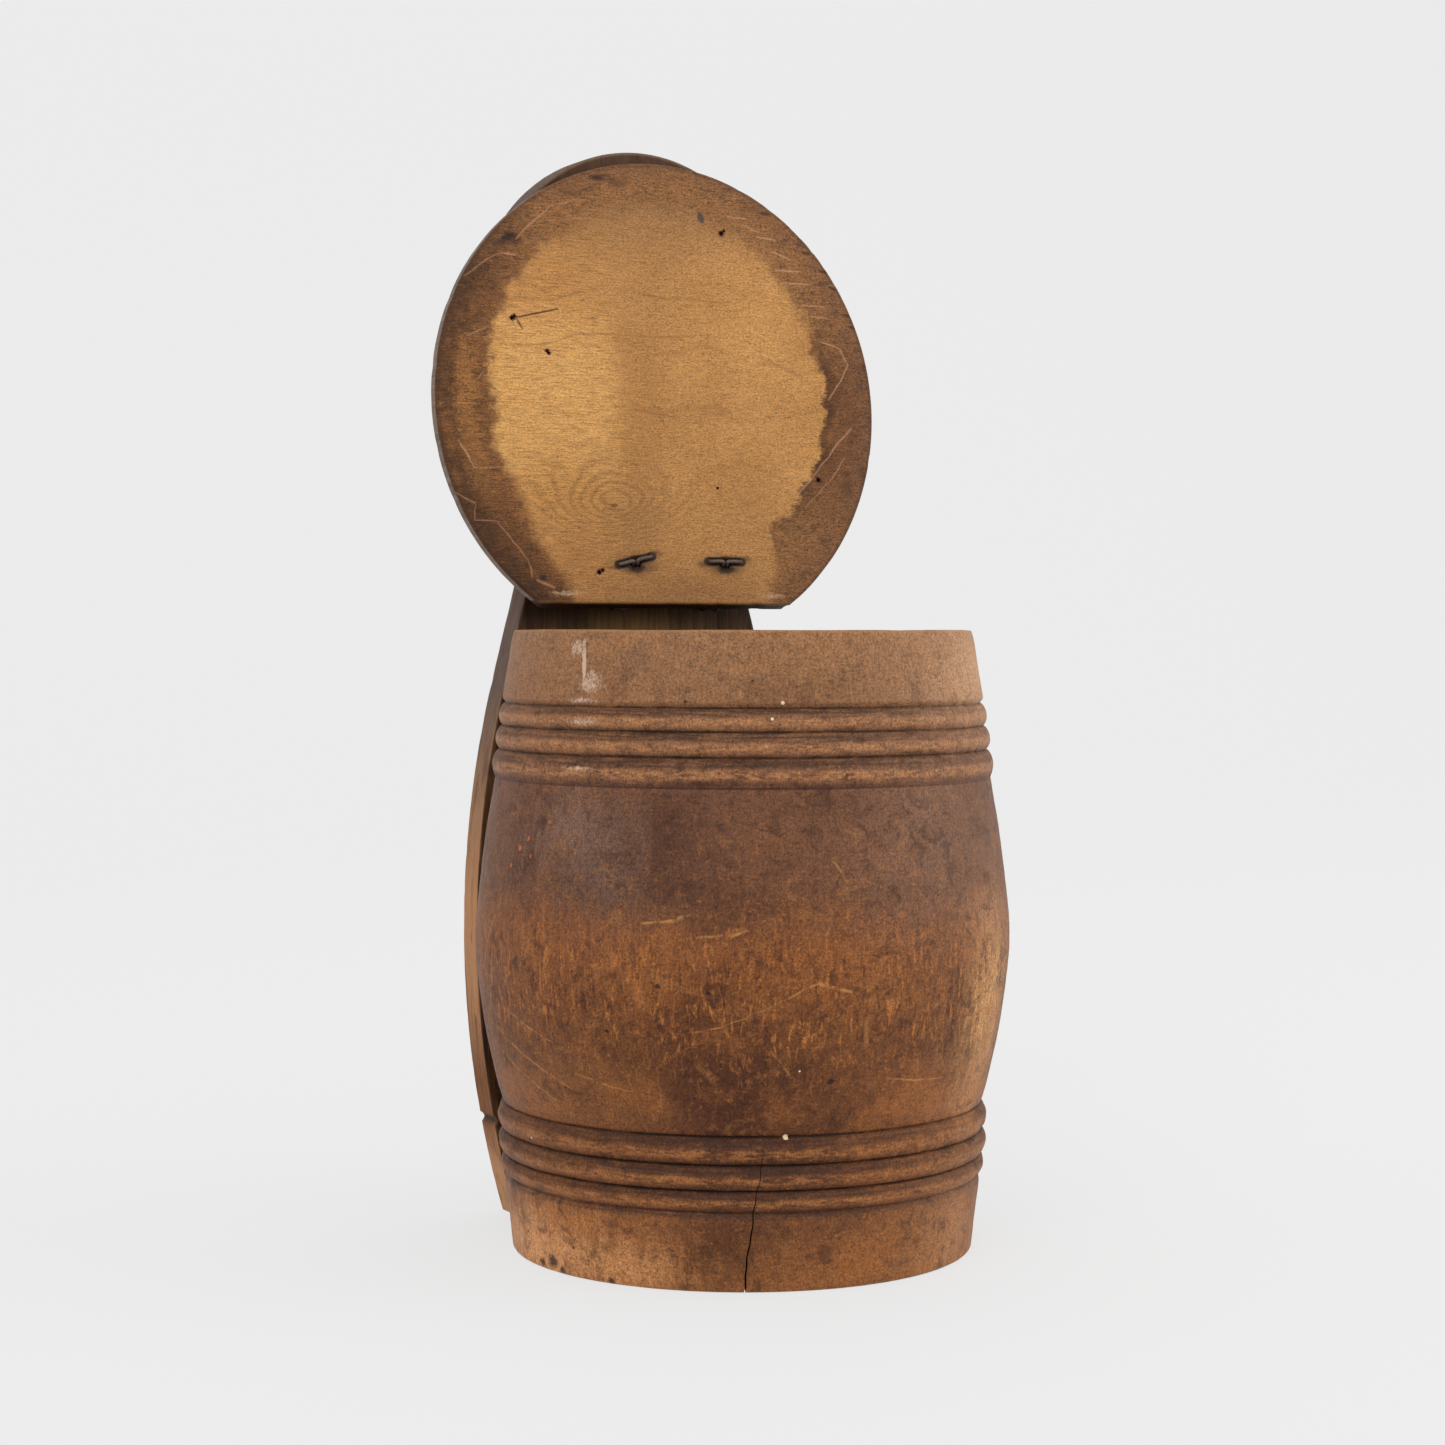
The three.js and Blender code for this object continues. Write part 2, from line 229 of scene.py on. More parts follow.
def tube(path, radii, sides=14):
    """Points and faces of a closed tube of changing radius along a path."""
    path = np.asarray(path, float)
    radii = np.broadcast_to(radii, len(path))
    along = np.gradient(path, axis=0)
    along /= np.linalg.norm(along, axis=1)[:, None]
    across = np.cross(along[0], (0.31, 0.87, 0.39))
    turns = np.linspace(0, 2 * math.pi, sides, endpoint=False)
    points = []
    for centre, direction, radius in zip(path, along, radii):
        across = across - direction * across.dot(direction)
        across /= np.linalg.norm(across)
        other = np.cross(direction, across)
        points.extend(centre + radius * (math.cos(t) * across + math.sin(t) * other) for t in turns)
    return points, capped_faces(len(path), sides)


def hole_cutter(mouth, inwards, radius, depth):
    """A slightly pointed drill that starts just outside a surface."""
    mouth, inwards = np.array(mouth, float), np.array(inwards, float)
    inwards /= np.linalg.norm(inwards)
    depths = [-1.0, depth * 0.75, depth]
    return tube([mouth + inwards * d for d in depths], [radius * 1.05, radius, radius * 0.35], 12)


# ---- Shader helpers ----

def srgb(red, green, blue):
    """8-bit screen values as the linear colour that shaders use."""
    def linear(value):
        value /= 255
        return value / 12.92 if value <= 0.04045 else ((value + 0.055) / 1.055) ** 2.4
    return (linear(red), linear(green), linear(blue), 1.0)


SHEEN = 0.016


def seen(red, green, blue):
    """The colour that looks like these 8-bit screen values under a faint white sheen."""
    return (*(max(0.004, part - SHEEN) for part in srgb(red, green, blue)[:3]), 1.0)


class Field:
    """A value that varies over a surface: a shader socket that takes part in ordinary arithmetic."""

    def __init__(self, paint, socket):
        self.paint = paint
        self.socket = socket

    def __add__(self, other):
        return self.paint.math("ADD", self, other)

    def __sub__(self, other):
        return self.paint.math("SUBTRACT", self, other)

    def __rsub__(self, other):
        return self.paint.math("SUBTRACT", other, self)

    def __mul__(self, other):
        return self.paint.math("MULTIPLY", self, other)

    def __truediv__(self, other):
        return self.paint.math("DIVIDE", self, other)

    __radd__ = __add__
    __rmul__ = __mul__

    def most(self, other):
        return self.paint.math("MAXIMUM", self, other)

    def size(self):
        return self.paint.math("ABSOLUTE", self)

    def stark(self):
        """Noise near 0.5 spread out to fill 0 to 1."""
        return self.rise(0.3, 0.7)

    def rise(self, low, high):
        """0 below low and 1 above high, with a soft step between; low may be the larger."""
        node = self.paint.node("ShaderNodeMapRange", self, low, high)
        node.interpolation_type = "SMOOTHSTEP"
        return Field(self.paint, node.outputs[0])

    def tint(self, amount, tone):
        """This colour, covered by an amount of an 8-bit screen colour."""
        return self.paint.blend(amount, self, seen(*tone))


class Paint:
    """Builds one material's nodes. Its fields are in millimetres of the CAD frame."""

    def __init__(self, name):
        self.material = bpy.data.materials.new(name)
        self.material.use_nodes = True
        self.tree = self.material.node_tree
        self.tree.nodes.clear()
        texture = self.tree.nodes.new("ShaderNodeTexCoord")
        self.place = self.vector_math("SCALE", Field(self, texture.outputs["Object"]), scale=1 / MM)
        self.x, self.y, self.z = self.split(self.place)

    def feed(self, socket, value):
        if isinstance(value, Field):
            self.tree.links.new(value.socket, socket)
        else:
            socket.default_value = value

    def node(self, kind, *values, operation=None):
        node = self.tree.nodes.new(kind)
        if operation:
            node.operation = operation
        for socket, value in zip(node.inputs, values):
            self.feed(socket, value)
        return node

    def math(self, operation, *values):
        return Field(self, self.node("ShaderNodeMath", *values, operation=operation).outputs[0])

    def vector_math(self, operation, *vectors, scale=None):
        node = self.node("ShaderNodeVectorMath", *vectors, operation=operation)
        if scale is not None:
            self.feed(node.inputs["Scale"], scale)
        is_number = operation in ("DOT_PRODUCT", "LENGTH")
        return Field(self, node.outputs["Value" if is_number else "Vector"])

    def split(self, vector):
        node = self.node("ShaderNodeSeparateXYZ", vector)
        return [Field(self, output) for output in node.outputs]

    def join(self, x, y, z=0.0):
        return Field(self, self.node("ShaderNodeCombineXYZ", x, y, z).outputs[0])

    def noise(self, size, detail=3, roughness=0.55, warp=0.0, place=None):
        """Noise near 0.5 with features of the given size; size may be one number per axis."""
        place = place or self.place
        if not isinstance(size, (int, float)):
            place = self.vector_math("MULTIPLY", place, tuple(1 / part for part in size))
            size = 1
        node = self.tree.nodes.new("ShaderNodeTexNoise")
        self.feed(node.inputs["Vector"], place)
        node.inputs["Scale"].default_value = 1 / size
        node.inputs["Detail"].default_value = detail
        node.inputs["Roughness"].default_value = roughness
        node.inputs["Distortion"].default_value = warp
        return Field(self, node.outputs[0])

    def ramp(self, field, stops):
        """A colour looked up along (position, colour) stops."""
        node = self.node("ShaderNodeValToRGB", field)
        ramp = node.color_ramp
        while len(ramp.elements) < len(stops):
            ramp.elements.new(0.5)
        for element, (position, colour) in zip(ramp.elements, sorted(stops)):
            element.position = position
            element.color = colour
        return Field(self, node.outputs[0])

    def tones(self, field, stops):
        """A ramp whose colours are 8-bit screen values under the sheen."""
        return self.ramp(field, [(position, seen(*tone)) for position, tone in stops])

    def blend(self, amount, under, over):
        node = self.tree.nodes.new("ShaderNodeMix")
        node.data_type = "RGBA"
        self.feed(node.inputs[0], amount)
        self.feed(node.inputs[6], under)
        self.feed(node.inputs[7], over)
        return Field(self, node.outputs[2])

    def shade(self, colour, factor):
        """A colour made lighter or darker by a factor near 1."""
        return self.vector_math("SCALE", colour, scale=factor)

    def blob(self, across, up, place, reach):
        """1 at a place, falling off smoothly over the given reach across and up."""
        side = (across - place[0]) / reach[0]
        height = (up - place[1]) / reach[1]
        return self.math("EXPONENT", 0 - (side * side + height * height))

    def stain(self, colour, across, up, places):
        """Covers places, given as (across, up, reach across, reach up, 8-bit tone, strength)."""
        for place_across, place_up, wide, high, tone, strength in places:
            there = self.blob(across, up, (place_across, place_up), (wide, high))
            colour = colour.tint(there * strength, tone)
        return colour

    def line(self, plane, start, end, width, fade=0.35):
        """1 along a straight scratch in a plane's own two axes, thinner towards its ends."""
        start, end = Vector((*start, 0)), Vector((*end, 0))
        way = end - start
        reach = self.vector_math("SUBTRACT", plane, tuple(start))
        along = self.vector_math("DOT_PRODUCT", reach, tuple(way / way.length_squared))
        held = self.math("MINIMUM", self.math("MAXIMUM", along, 0.0), 1.0)
        nearest = self.vector_math("SCALE", tuple(way), scale=held)
        distance = self.vector_math("LENGTH", self.vector_math("SUBTRACT", reach, nearest))
        taper = 1 - (along - 0.5).size() * (2 * fade)
        return (distance / width).rise(1.0, 0.25) * taper

    def marks(self, plane, lines, stretch=1):
        """The strongest of many scratches, as (across, up, across, up, width, strength).

        Stretch turns the lists' across values into millimetres.
        """
        strongest = None
        for across_a, up_a, across_b, up_b, width, strength in lines:
            mark = self.line(plane, (across_a * stretch, up_a), (across_b * stretch, up_b), width) * strength
            strongest = mark if strongest is None else strongest.most(mark)
        return strongest

    def finish(self, colour, roughness, height=None, metallic=0.0, specular=0.5, glow=0.0):
        """Ends the tree: height is in millimetres of relief."""
        shader = self.tree.nodes.new("ShaderNodeBsdfPrincipled")
        self.feed(shader.inputs["Base Color"], colour)
        self.feed(shader.inputs["Roughness"], roughness)
        self.feed(shader.inputs["Metallic"], metallic)
        shader.inputs["Specular IOR Level"].default_value = specular
        shader.inputs["Emission Color"].default_value = (1, 1, 1, 1)
        shader.inputs["Emission Strength"].default_value = glow
        if height is not None:
            bump = self.tree.nodes.new("ShaderNodeBump")
            bump.inputs["Distance"].default_value = MM
            self.feed(bump.inputs["Height"], height)
            self.tree.links.new(bump.outputs["Normal"], shader.inputs["Normal"])
        output = self.tree.nodes.new("ShaderNodeOutputMaterial")
        self.tree.links.new(shader.outputs[0], output.inputs["Surface"])
        return self.material


# ---- Keg shell ----

# Millimetres of the belly's surface to one degree round the keg
SPREAD = 70 * math.pi / 180

# Each bead runs from its lower groove to its upper one: heights, groove radii and crest.
LOWER_BEADS = [
    {"low": 21.5, "high": 27.1, "foot": 66.6, "crest": 67.85, "head": 66.9, "crest_at": 0.5},
    {"low": 27.1, "high": 33.9, "foot": 67.1, "crest": 68.55, "head": 67.3, "crest_at": 0.55},
    {"low": 33.9, "high": 41.4, "foot": 67.4, "crest": 68.7, "head": 67.2, "crest_at": 0.5},
]
UPPER_BEADS = [
    {"low": 132.2, "high": 139.8, "foot": 69.5, "crest": 70.2, "head": 68.6, "crest_at": 0.46},
    {"low": 139.8, "high": 146.4, "foot": 68.3, "crest": 69.3, "head": 67.8, "crest_at": 0.42},
    {"low": 146.4, "high": 152.7, "foot": 67.5, "crest": 68.35, "head": 66.9, "crest_at": 0.4},
]
BELLY = [(67.3, 41.9), (69.2, 48.5), (72.3, 63), (74.45, 78.7), (74.93, 88), (74.35, 97.6),
         (72, 116.6), (70.45, 126), (69.45, 131.9)]


def bead_outline(bead):
    """Radius and height up one bead, with a narrow cut at its upper groove."""
    half_cut, cut_depth = 0.25, 0.4
    crest_height = bead["low"] + bead["crest_at"] * (bead["high"] - bead["low"])
    low, high = bead["low"] + half_cut, bead["high"] - half_cut
    rising = np.linspace(0.04, 1, 9)
    falling = np.linspace(1, 0.04, 9)[1:]
    below = bead["foot"] + (bead["crest"] - bead["foot"]) * np.sin(rising * math.pi / 2) ** 0.75
    above = bead["head"] + (bead["crest"] - bead["head"]) * np.sin(falling * math.pi / 2) ** 0.75
    heights = np.concatenate([low + (crest_height - low) * rising, high - (high - crest_height) * falling])
    radii = np.concatenate([below, above])
    cut = [(bead["head"] - cut_depth, bead["high"])]
    return np.vstack([np.stack([radii, heights], -1), cut])


def shell_outline():
    """The shell's closed section, and how many of its points are on the outside."""
    foot = np.vstack([arc((63.3, 1.3), 1.3, -math.pi / 2, 0, 6), [(64.75, 2.6)]])
    base_band = [(64.9, 4), (65.45, 9.5), (66.15, 15), (66.6, 19), (66.4, 20.6), (65.95, 21.4)]
    top_band = [(66.7, 153.2), (67.2, 153.9), (67.15, 155), (66.05, 161.5), (64.85, 169.5), (64.2, 172.2)]
    rim = arc((63.6, KEG_HEIGHT - 0.5), 0.5, 0.1, math.pi / 2, 5)
    outside = [foot, smooth_line(base_band, 6)[:-1]]
    outside += [bead_outline(bead) for bead in LOWER_BEADS]
    outside += [smooth_line(BELLY, 12)]
    outside += [bead_outline(bead) for bead in UPPER_BEADS]
    outside += [smooth_line(top_band, 5), rim]
    outside = np.vstack(outside)
    bore_top = arc((BORE_RADIUS + BORE_LIP, KEG_HEIGHT - BORE_LIP), BORE_LIP, math.pi / 2, math.pi, 6)
    low, high, deep = BOTTOM_LOW - GROOVE_PLAY, BOTTOM_HIGH + GROOVE_PLAY, BOTTOM_RADIUS + GROOVE_PLAY
    bore = np.stack([np.full(40, BORE_RADIUS), np.linspace(KEG_HEIGHT - 3, high, 40)], -1)
    groove = [(deep, high), (deep, low), (BORE_RADIUS + 0.5, low), (BORE_RADIUS + 1.0, 3),
              (BORE_RADIUS + 1.8, 0)]
    return np.vstack([outside, bore_top, bore, groove]), len(outside)


CRACK_MIDDLE = -25.0
CRACK_TOP = 41


def crack_lean(height):
    """How far the drying crack has wandered from its middle angle, in degrees, at a height."""
    wander = 0.14 * np.sin(height * 0.42 + 1.0) + 0.08 * np.sin(height * 1.1)
    slant = -2.3 + 4.6 * np.clip(height / CRACK_TOP, 0, 1.2) ** 1.2
    return (slant + wander) * (1 - smoothstep(height, CRACK_TOP + 4, CRACK_TOP + 22))


def shell_columns(heights):
    """The angle of every column at every height, packed closely along the crack."""
    spread = np.linspace(-180, 180, 248, endpoint=False)
    spread = spread[np.abs(spread - CRACK_MIDDLE) > 1.4] - CRACK_MIDDLE
    half_width = 0.24 - 0.17 * smoothstep(heights, 4, CRACK_TOP)
    half_angle = np.degrees(half_width / WORKING_RADIUS)[:, None]
    cluster = half_angle * np.array([-1, 0, 1])
    margins = np.broadcast_to(np.array([-0.8, 0.8]), (len(heights), 2))
    offsets = np.hstack([np.broadcast_to(spread, (len(heights), len(spread))), cluster, margins])
    order = np.argsort(offsets[0])
    offsets = offsets[:, order]
    angles = CRACK_MIDDLE + offsets + crack_lean(heights)[:, None] * hump(offsets, 0, 14)
    middle = int(np.flatnonzero(order == len(spread) + 1)[0])
    return np.radians(angles), middle


# Knocks in the shell: angle, height, reach across and up, depth
DENTS = [
    (-8.4, 171.5, 1.2, 2.5, 0.5), (22, 172.2, 1.5, 1.2, 0.7), (-60, 150, 3, 1.5, 0.25),
    (-34, 79.5, 2, 2, 0.3), (-57, 68.5, 2, 2, 0.25), (-12, 100, 5, 3, 0.3), (14, 54, 4, 1.2, 0.25),
    (-18, 137.5, 3, 1.2, 0.35), (2, 31.5, 3, 1.2, 0.35), (-70, 37.5, 2, 1, 0.4), (-79.9, 2.5, 4, 2, 0.6),
    (48, 36, 4, 1.5, 0.5), (80, 60, 6, 4, 0.4), (110, 150, 5, 3, 0.4), (65, 171.5, 3, 2, 0.6),
    (-110, 100, 5, 6, 0.3), (95, 24, 3, 1.5, 0.4), (-120, 30, 4, 1.5, 0.4), (130, 90, 4, 7, 0.3),
]


def keg_shell(material):
    outline, outside_count = shell_outline()
    heights = outline[:, 1]
    angles, crack_column = shell_columns(heights)
    radius = np.broadcast_to(outline[:, :1], angles.shape).copy()
    height = np.broadcast_to(outline[:, 1:], angles.shape).copy()
    outside = np.arange(len(outline)) < outside_count
    around_x, around_y = WORKING_RADIUS * np.sin(angles), -WORKING_RADIUS * np.cos(angles)
    uneven = 0.22 * grain_noise(around_x, around_y, height, 45)
    uneven = uneven + 0.1 * grain_noise(around_x, around_y, height, 9, 2)
    rough_beads = 0.12 + 0.3 * smoothstep(height, 19, 23) * smoothstep(height, 44, 40)
    wear = rough_beads * grain_noise(around_x, around_y, height * 2, 4, 3) ** 2
    radius[outside] -= (uneven + wear - 0.16)[outside]
    radius = np.minimum(radius, WIDEST_RADIUS)
    for dent_angle, dent_height, across, up, depth in DENTS:
        side = (np.degrees(angles) - dent_angle) * WORKING_RADIUS * math.pi / 180 / across
        rise = (height - dent_height) / up
        radius[outside] -= (depth * np.exp(-side**2 - rise**2))[outside]
    crack_depth = 4.5 * (1 - smoothstep(heights, 18, CRACK_TOP))
    radius[outside, crack_column] -= crack_depth[outside]
    rim_wave = 0.35 * grain_noise(around_x, around_y, 0, 14, 5) * smoothstep(height, 168, KEG_HEIGHT)
    height -= rim_wave
    height[height < 0] = 0
    x, y = radius * np.sin(angles), -radius * np.cos(angles)
    y[outside] = np.minimum(y[outside], BACK_FLAT_Y)
    points = np.stack([x, y, height], -1).reshape(-1, 3)
    faces = ring_faces(len(outline), angles.shape[1], True)
    return make_object("keg_shell", points, faces, "keg", material, "keg_body", 40)


def shell_paint():
    """Dark handled patina, worn to red and gold brown low down, with grime and painted shade in the turned
    grooves.
    """
    paint = Paint("shell_patina")
    x, y, z = paint.x, paint.y, paint.z
    angle = paint.math("ARCTAN2", x, 0 - y) * (180 / math.pi)
    radius = paint.math("SQRT", x * x + y * y)

    cloudy = paint.noise((20, 20, 16), 3, 0.55)
    patchy = paint.noise((7, 7, 9), 4, 0.62)
    streaky = paint.noise((2.4, 2.4, 13), 4, 0.6, 0.3)
    drips = paint.noise((1.5, 1.5, 6.5), 5, 0.68, 0.5)
    fibre = paint.noise((0.5, 0.5, 3.4), 3, 0.6)
    pores = paint.noise(0.85, 3, 0.65, 0.5)
    specks = paint.noise(0.5, 2, 0.7)
    mottle = paint.noise((3, 3, 2.4), 5, 0.72, 1.2)

    # Colour by height, broken up by the streaks
    height = (z + (patchy - 0.5) * 14 + (streaky - 0.5) * 8 + (mottle - 0.5) * 14) / KEG_HEIGHT
    stops = [(0.0, (142, 92, 56)), (0.12, (120, 78, 52)), (0.36, (114, 74, 48)), (0.53, (138, 86, 52)),
             (0.6, (110, 75, 56)), (0.76, (112, 76, 57)), (0.81, (142, 100, 72)), (1.0, (152, 110, 77))]
    colour = paint.tones(height, stops)

    # Hand-rubbed and stained places: angle, height, reach across and up, colour, strength
    moved_angle = angle + (patchy - 0.5) * 14 + (streaky - 0.5) * 12
    moved_height = z + (patchy - 0.5) * 12 + (streaky - 0.5) * 22
    places = [
        (-32, 52, 15, 15, (70, 44, 34), 0.9), (-36, 72, 10, 13, (90, 56, 40), 0.75),
        (-33, 12, 9, 12, (84, 54, 38), 0.9), (-24, 32, 26, 13, (76, 50, 40), 0.6),
        (-18, 50, 17, 9, (72, 46, 36), 0.5), (-57, 112, 12, 16, (104, 82, 72), 0.75),
        (-42, 116, 9, 15, (90, 62, 50), 0.7), (-28, 100, 12, 8, (92, 60, 44), 0.7),
        (-68, 121, 10, 9, (132, 104, 90), 0.6), (-82, 112, 6, 8, (84, 62, 52), 0.8),
        (-8, 128, 10, 5, (92, 64, 48), 0.6), (-60, 88, 18, 7, (140, 90, 60), 0.6),
        (-12, 82, 16, 7, (142, 88, 52), 0.6), (-88, 6, 28, 9, (218, 156, 104), 0.9),
        (-56, 4, 14, 6, (196, 138, 90), 0.75), (-74, 16, 22, 5, (176, 114, 66), 0.6),
        (-80, 48, 26, 9, (142, 92, 58), 0.8), (33, 10, 16, 16, (172, 120, 80), 0.85),
        (8, 50, 14, 10, (130, 82, 52), 0.7), (22, 44, 10, 12, (152, 98, 62), 0.7),
        (18, 118, 24, 30, (130, 96, 76), 0.7), (39.5, 73, 10, 20, (224, 170, 110), 1.0),
        (36, 96, 8, 7, (176, 126, 90), 0.7), (37, 46, 9, 12, (184, 128, 82), 0.9),
        (60, 80, 20, 40, (150, 104, 72), 0.6), (48, 162, 26, 14, (206, 160, 120), 0.8),
        (-16, 157, 17, 4, (112, 76, 54), 0.6), (-52, 166, 8, 5, (128, 94, 74), 0.5),
        (100, 60, 20, 30, (112, 76, 54), 0.6), (140, 110, 20, 30, (104, 76, 60), 0.6),
        (-125, 90, 18, 40, (122, 84, 60), 0.5), (-10, 162, 40, 6, (146, 106, 74), 0.5),
    ]
    colour = paint.stain(colour, moved_angle, moved_height, places)

    # Worn flecks and dark drips over the belly, strongest where hands rub it
    rubbed = paint.blob(z, z, (77, 77), (25, 25))
    flecks = drips.rise(0.54, 0.63)
    colour = colour.tint(flecks * (rubbed * 0.72 + 0.06), (188, 120, 64))
    dark_drips = paint.noise((1.8, 1.8, 7), 5, 0.72, 0.8).rise(0.5, 0.62)
    colour = colour.tint(dark_drips * (rubbed * 0.62 + 0.1), (70, 44, 33))
    handled = rubbed * 0.34 + z.rise(44, 34) * 0.2 + 0.1
    colour = colour.tint(mottle.rise(0.48, 0.64) * handled, (70, 46, 35))
    colour = colour.tint(mottle.rise(0.46, 0.34) * z.rise(150, 100) * 0.42, (174, 111, 62))
    smears = paint.noise((8, 8, 6), 5, 0.7, 0.8).rise(0.5, 0.66)
    colour = colour.tint(smears * z.rise(166, 140).most(0.5) * 0.55, (70, 47, 38))
    glow = paint.noise((9, 9, 7), 5, 0.75, 1.0).rise(0.54, 0.66)
    colour = colour.tint(glow * 0.3, (164, 110, 68))
    warm = cloudy.rise(0.5, 0.68) * z.rise(125, 60)
    colour = colour.tint(warm * 0.35, (158, 100, 56))
    from_seam = angle + 47
    seam = (from_seam + (patchy - 0.5) * 1.5).rise(-0.5, 0.5) * from_seam.rise(12, 0)
    seam = seam * z.rise(100, 106) * z.rise(132, 124)
    colour = colour.tint(seam * 0.35, (70, 46, 36))

    # Grime above each bead's crest and in the hollow below the lowest bead, a worn crest, and a black line in
    # each groove and at the belly's top step; the grime and the black lines are painted shade as well, full
    # at the front and weaker on the keg's lit sides
    tone, line = None, None
    ragged_wear = paint.noise((5, 5, 1.4), 5, 0.7).rise(0.42, 0.56)
    # Painted shade: the grooves' darkening is full at the front and fades on the keg's lit sides
    shaded = 1 - angle.rise(-20, 34) * 0.5 - angle.rise(-50, -80) * 0.25
    for bead in LOWER_BEADS + UPPER_BEADS:
        span = bead["high"] - bead["low"]
        up = (z - bead["low"] + (patchy - 0.5) * 1.6) / span
        inside = (z - bead["low"]).rise(-0.2, 0.2) * (z - bead["high"]).rise(0.2, -0.2)
        grime_and_shade = up.rise(0.5, 0.74) * inside + up.rise(0.2, 0.02) * inside * 0.7
        groove = (z - bead["high"]).size().rise(0.55, 0.1)
        tone = grime_and_shade if tone is None else tone + grime_and_shade
        line = groove if line is None else line + groove
        worn = up.rise(0.14, 0.34) * up.rise(0.66, 0.46) * inside
        worn = worn * ragged_wear
        low = bead in LOWER_BEADS
        colour = colour.tint(worn * 0.7, (160, 106, 66) if low else (176, 124, 84))
    hollow = z.rise(19.0, 20.6) * z.rise(22.0, 21.2)
    grimy = paint.noise((14, 14, 0.8), 4, 0.65).rise(0.36, 0.58) * 0.55 + 0.25
    colour = colour.tint((tone + hollow) * shaded * grimy, (66, 49, 43))
    broken = paint.noise((9, 9, 1), 3, 0.6).rise(0.35, 0.55) * 0.5 + 0.3
    colour = colour.tint(line * (shaded * 0.8 + 0.1) * broken, (30, 20, 17))
    # A dark line of painted shade at the step above the belly
    step = (z - BELLY[-1][1]).size().rise(0.45, 0.15)
    colour = colour.tint(step * shaded * 0.7, (62, 38, 28))

    # Fine grain
    threads = paint.noise((6, 6, 0.5), 3, 0.65, 0.6)
    fine = pores.stark() * 0.4 + specks.stark() * 0.62 + mottle.stark() * 0.26 + fibre.stark() * 0.14
    fine = fine + threads.stark() * 0.16 + streaky.stark() * 0.1
    colour = paint.shade(colour, fine + 0.11)
    colour = colour.tint(pores.rise(0.34, 0.27) * (rubbed * 0.3 + 0.12), (46, 31, 25))

    # Scratches down to lighter wood, on the unrolled surface
    unrolled = paint.join(angle * SPREAD, z)
    wavy = paint.vector_math("ADD", unrolled, paint.join((patchy - 0.5) * 2, (cloudy - 0.5) * 4))
    scratches = [
        (-49, 97, -38, 99.5, 0.45, 0.8), (-44, 98, -40, 98.8, 0.8, 0.4), (-37, 93.8, -32, 94.6, 0.4, 0.7),
        (-30, 94.2, -27, 95.6, 0.5, 0.7), (-35, 92.2, -31, 92.4, 0.7, 0.35),
        (-18.6, 79, -12.6, 82.2, 0.4, 0.7), (-12.6, 82.2, -5.8, 79.5, 0.6, 0.9),
        (-38.6, 69, -27.5, 73, 0.3, 0.55), (-27.5, 73, -18.6, 79, 0.25, 0.35),
        (-87.4, 70.4, -69.3, 62.7, 0.35, 0.8), (-94.8, 64.4, -67.6, 51.6, 0.4, 0.5),
        (-95, 58.9, -72.4, 47.4, 0.3, 0.5), (-66, 56, -52, 53, 0.3, 0.5), (-22, 64, -18, 58, 0.4, 0.45),
        (4.8, 55.7, 21.6, 54.1, 0.3, 0.7), (-1.3, 77.4, -1.7, 64.8, 1.0, 0.4),
        (-9, 113, -6, 108, 0.45, 0.5), (-99, 80, -92, 96, 0.5, 0.5), (-97, 70, -90, 92, 0.4, 0.4),
        (62, 120, 80, 104, 0.4, 0.6), (90, 66, 112, 74, 0.5, 0.6),
    ]
    rub = paint.noise(2.6, 3, 0.6).rise(0.34, 0.6)
    scratched = paint.marks(wavy, scratches, SPREAD) * rub
    colour = colour.tint(scratched * 0.85, (198, 142, 86))
    across, up, _ = paint.split(unrolled)
    slanting = paint.join(across * 0.16 + up * 0.1, up * 0.8 - across * 0.3)
    hairlines = paint.noise(1.0, 2, 0.5, place=slanting)
    hairlines = hairlines.rise(0.62, 0.7) * paint.noise(11, 2).rise(0.5, 0.62)
    colour = colour.tint(hairlines * rubbed * 0.3, (184, 126, 76))

    # Chalky smears, pale flecks and burnt spots
    chalk_noise = paint.noise((0.8, 0.8, 1.2), 4, 0.7, 0.8)
    chalk = paint.line(wavy, (-68.1 * SPREAD, 170), (-66.8 * SPREAD, 157), 1.1)
    smudges = [
        (-67, 154.2, 6, 1.2), (-66, 148.6, 5.5, 1.4), (-65, 159, 5, 4), (-70, 168, 4, 3),
        (-66, 136.5, 6, 0.8),
    ]
    for place_angle, place_height, wide, high in smudges:
        chalk = chalk.most(paint.blob(angle, z, (place_angle, place_height), (wide, high)) * 0.7)
    colour = colour.tint((chalk * 1.3 + (chalk_noise - 0.5) * 2.2).rise(0.45, 1.2) * 0.85, (206, 178, 156))
    around = angle * SPREAD
    crumbs = [(-18.2, 41.3, 0.8), (-19, 154, 0.55), (-21.5, 149.9, 0.45), (-15.9, 59, 0.3), (-84, 36, 0.35)]
    burns = [(-84.5, 1.8, 1.8), (-76, 1.2, 1.6), (-60, 1.0, 1.5), (-40.6, 154.3, 0.7), (-25.7, 159.7, 0.5),
             (-34.6, 79.6, 0.9), (-56.7, 68.5, 0.8), (-44.9, 81.1, 1.0), (-79.9, 3.0, 2.9), (-91, 9, 0.7),
             (-71.3, 8.2, 0.6), (-9, 56, 1.2), (40, 140, 1.2), (95, 40, 1.6)]
    chips = [
        (-83.5, 114.5, 0.8), (-80.5, 117.2, 0.7), (-79, 112.6, 0.5), (-86.5, 109.5, 0.6), (-74, 122, 0.4),
    ]
